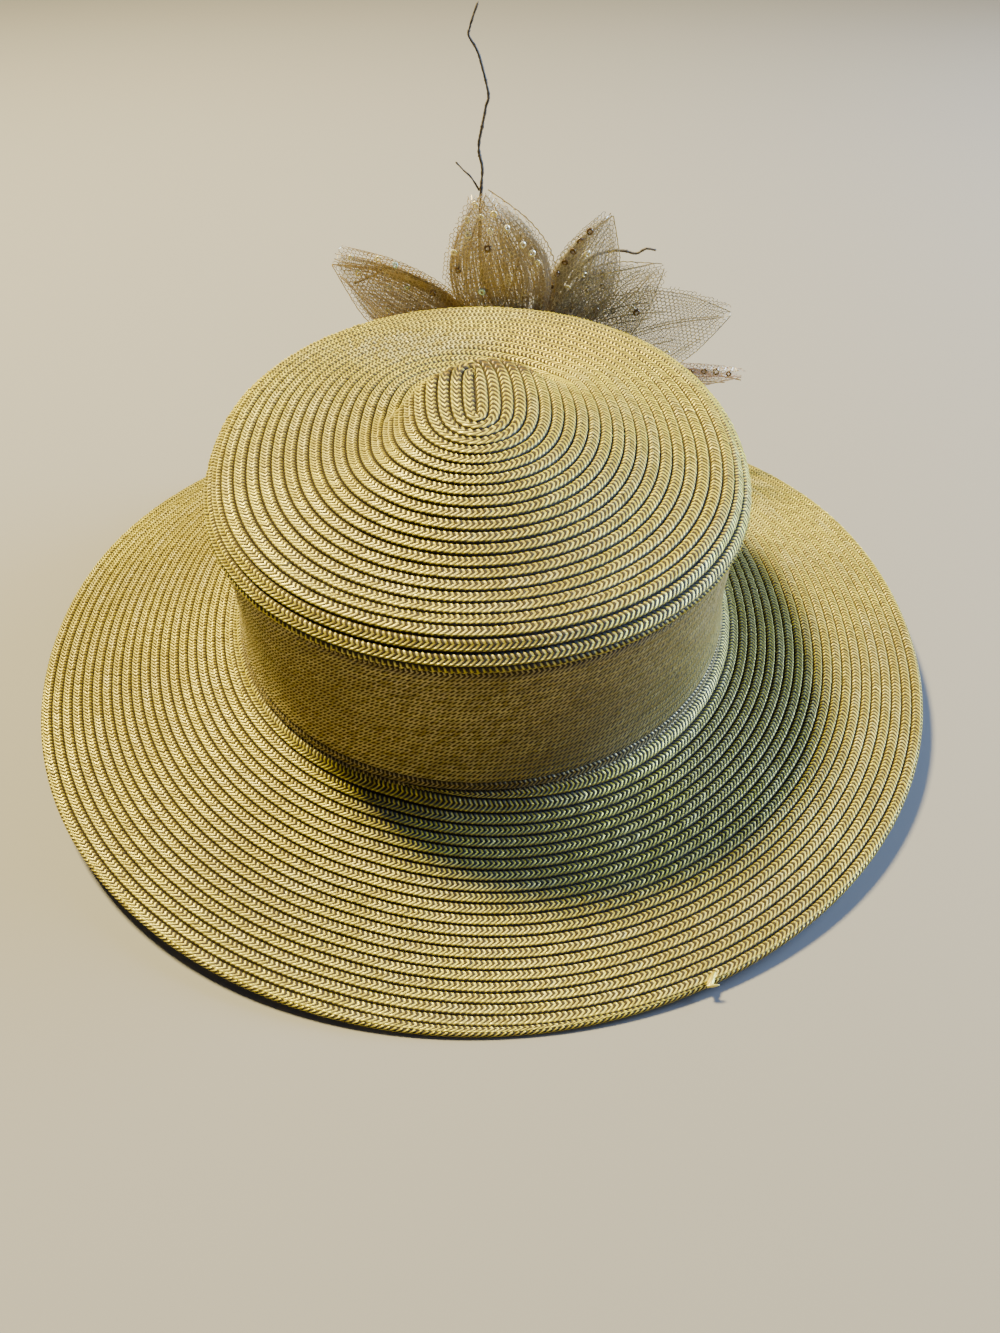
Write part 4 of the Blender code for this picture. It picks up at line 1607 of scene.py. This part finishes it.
@dataclass(frozen=True)
class Studio:
    """Camera, lights and floor."""

    camera_place: tuple[float, float, float] = (-0.0062, -0.2855, 0.2444)
    pitch: float = math.radians(45.32)
    yaw: float = math.radians(2.64)
    roll: float = math.radians(-0.61)
    focal_pixels: float = 1001.0
    frame_width: float = 1000.0
    floor_size: float = 9.0
    aim: tuple[float, float, float] = (0.0, 0.0, 0.04)
    room_tone: tuple[float, float, float] = (0.80, 0.85, 0.92)
    room_strength: float = 0.09

    LAMPS = (
        Lamp("warm_key", (-0.76, 0.70, 1.87), 0.34, 182.0, (1.0, 0.87, 0.41)),
        Lamp("cool_window", (1.45, 0.45, 0.80), 0.80, 46.0, (0.42, 0.63, 1.0)),
        Lamp("window_glints", (1.50, -0.10, 0.75), 0.70, 90.0, (0.50, 0.72, 1.0), True),
        Lamp("front_fill", (-0.5, -1.6, 1.3), 1.4, 0.9, (1.0, 0.96, 0.90)),
    )

    def camera(self) -> bpy.types.Object:
        """Camera at the photograph's angle to the hat."""
        forward = Vector((math.sin(self.yaw) * math.cos(self.pitch),
                          math.cos(self.yaw) * math.cos(self.pitch), -math.sin(self.pitch)))
        level = Vector((math.cos(self.yaw), -math.sin(self.yaw), 0))
        rise = level.cross(forward)
        right = level * math.cos(self.roll) + rise * math.sin(self.roll)
        up = -level * math.sin(self.roll) + rise * math.cos(self.roll)
        turn = Matrix((right, up, -forward)).transposed().to_4x4()
        data = bpy.data.cameras.new("camera")
        data.sensor_fit = "HORIZONTAL"
        data.sensor_width = 36.0
        data.lens = data.sensor_width * self.focal_pixels / self.frame_width
        data.clip_start = 0.01
        data.clip_end = 50.0
        camera = bpy.data.objects.new("camera", data)
        camera.matrix_world = FORM.stance() @ Matrix.Translation(self.camera_place) @ turn
        bpy.context.scene.collection.objects.link(camera)
        bpy.context.scene.camera = camera
        return camera

    def light(self, plan: Lamp) -> bpy.types.Object:
        """Set up a lamp, aimed at the hat.

        Args:
            plan: The lamp's sizes and place.

        Returns:
            The lamp.
        """
        data = bpy.data.lights.new(plan.name, "AREA")
        data.size = plan.size
        data.energy = plan.power
        data.color = plan.tone
        lamp = bpy.data.objects.new(plan.name, data)
        lamp.location = plan.place
        aim = Vector(self.aim) - Vector(plan.place)
        lamp.rotation_euler = aim.to_track_quat("-Z", "Y").to_euler()
        lamp.visible_diffuse = not plan.only_glints
        bpy.context.scene.collection.objects.link(lamp)
        return lamp

    def room(self) -> bpy.types.World:
        """Set up the room's faint even light."""
        world = bpy.data.worlds.new("soft_room")
        world.use_nodes = True
        background = world.node_tree.nodes["Background"]
        background.inputs["Color"].default_value = (*self.room_tone, 1)
        background.inputs["Strength"].default_value = self.room_strength
        bpy.context.scene.world = world
        return world

    def floor(self) -> bpy.types.Object:
        """Lay the floor that the hat stands on."""
        half = self.floor_size / 2
        corners = [(-half, -half, 0), (half, -half, 0), (half, half, 0), (-half, half, 0)]
        mesh = bpy.data.meshes.new("floor")
        mesh.from_pydata(corners, [], [(0, 1, 2, 3)])
        mesh.materials.append(FloorFinish().make())
        floor = bpy.data.objects.new("floor", mesh)
        bpy.context.scene.collection.objects.link(floor)
        return floor

    def build(self) -> None:
        """Build the studio."""
        self.camera()
        for plan in self.LAMPS:
            self.light(plan)
        self.room()
        self.floor()


def main() -> None:
    """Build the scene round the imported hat."""
    logging.basicConfig(level=logging.INFO)
    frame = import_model()
    Studio().build()
    braid = StrawFinish("straw_braid").make()
    # The tip's marks hold a brown stain with painted shadow at the crest
    stained_and_shaded_tip = StrawFinish("straw_braid_tip", marks=TIP_MARKS).make()
    # The side's straw tones are darker than the tip's and brim's as painted shade
    knit = StrawFinish("straw_braid_side", light=(0.66, 0.535, 0.24), deep=(0.35, 0.265, 0.045),
                       patches=0.3, seamless=0.9, edge_start=1.2).make()
    # Darker copy of the braid for the rows under the lip and at the foot: painted shade
    shaded = StrawFinish("straw_braid_painted_shade", light=(0.52, 0.41, 0.19), deep=(0.31, 0.23, 0.045),
                         edge=(0.54, 0.45, 0.24), patches=0.4).make()
    made = Crown().build(stained_and_shaded_tip, knit, shaded) + Brim().build(braid)
    made += Flower().build(frame["nodes"]["flower_backing"])
    for piece in made:
        LOG.info("%s: %d faces", piece.name, len(piece.data.polygons))


if __name__ == "__main__":
    main()
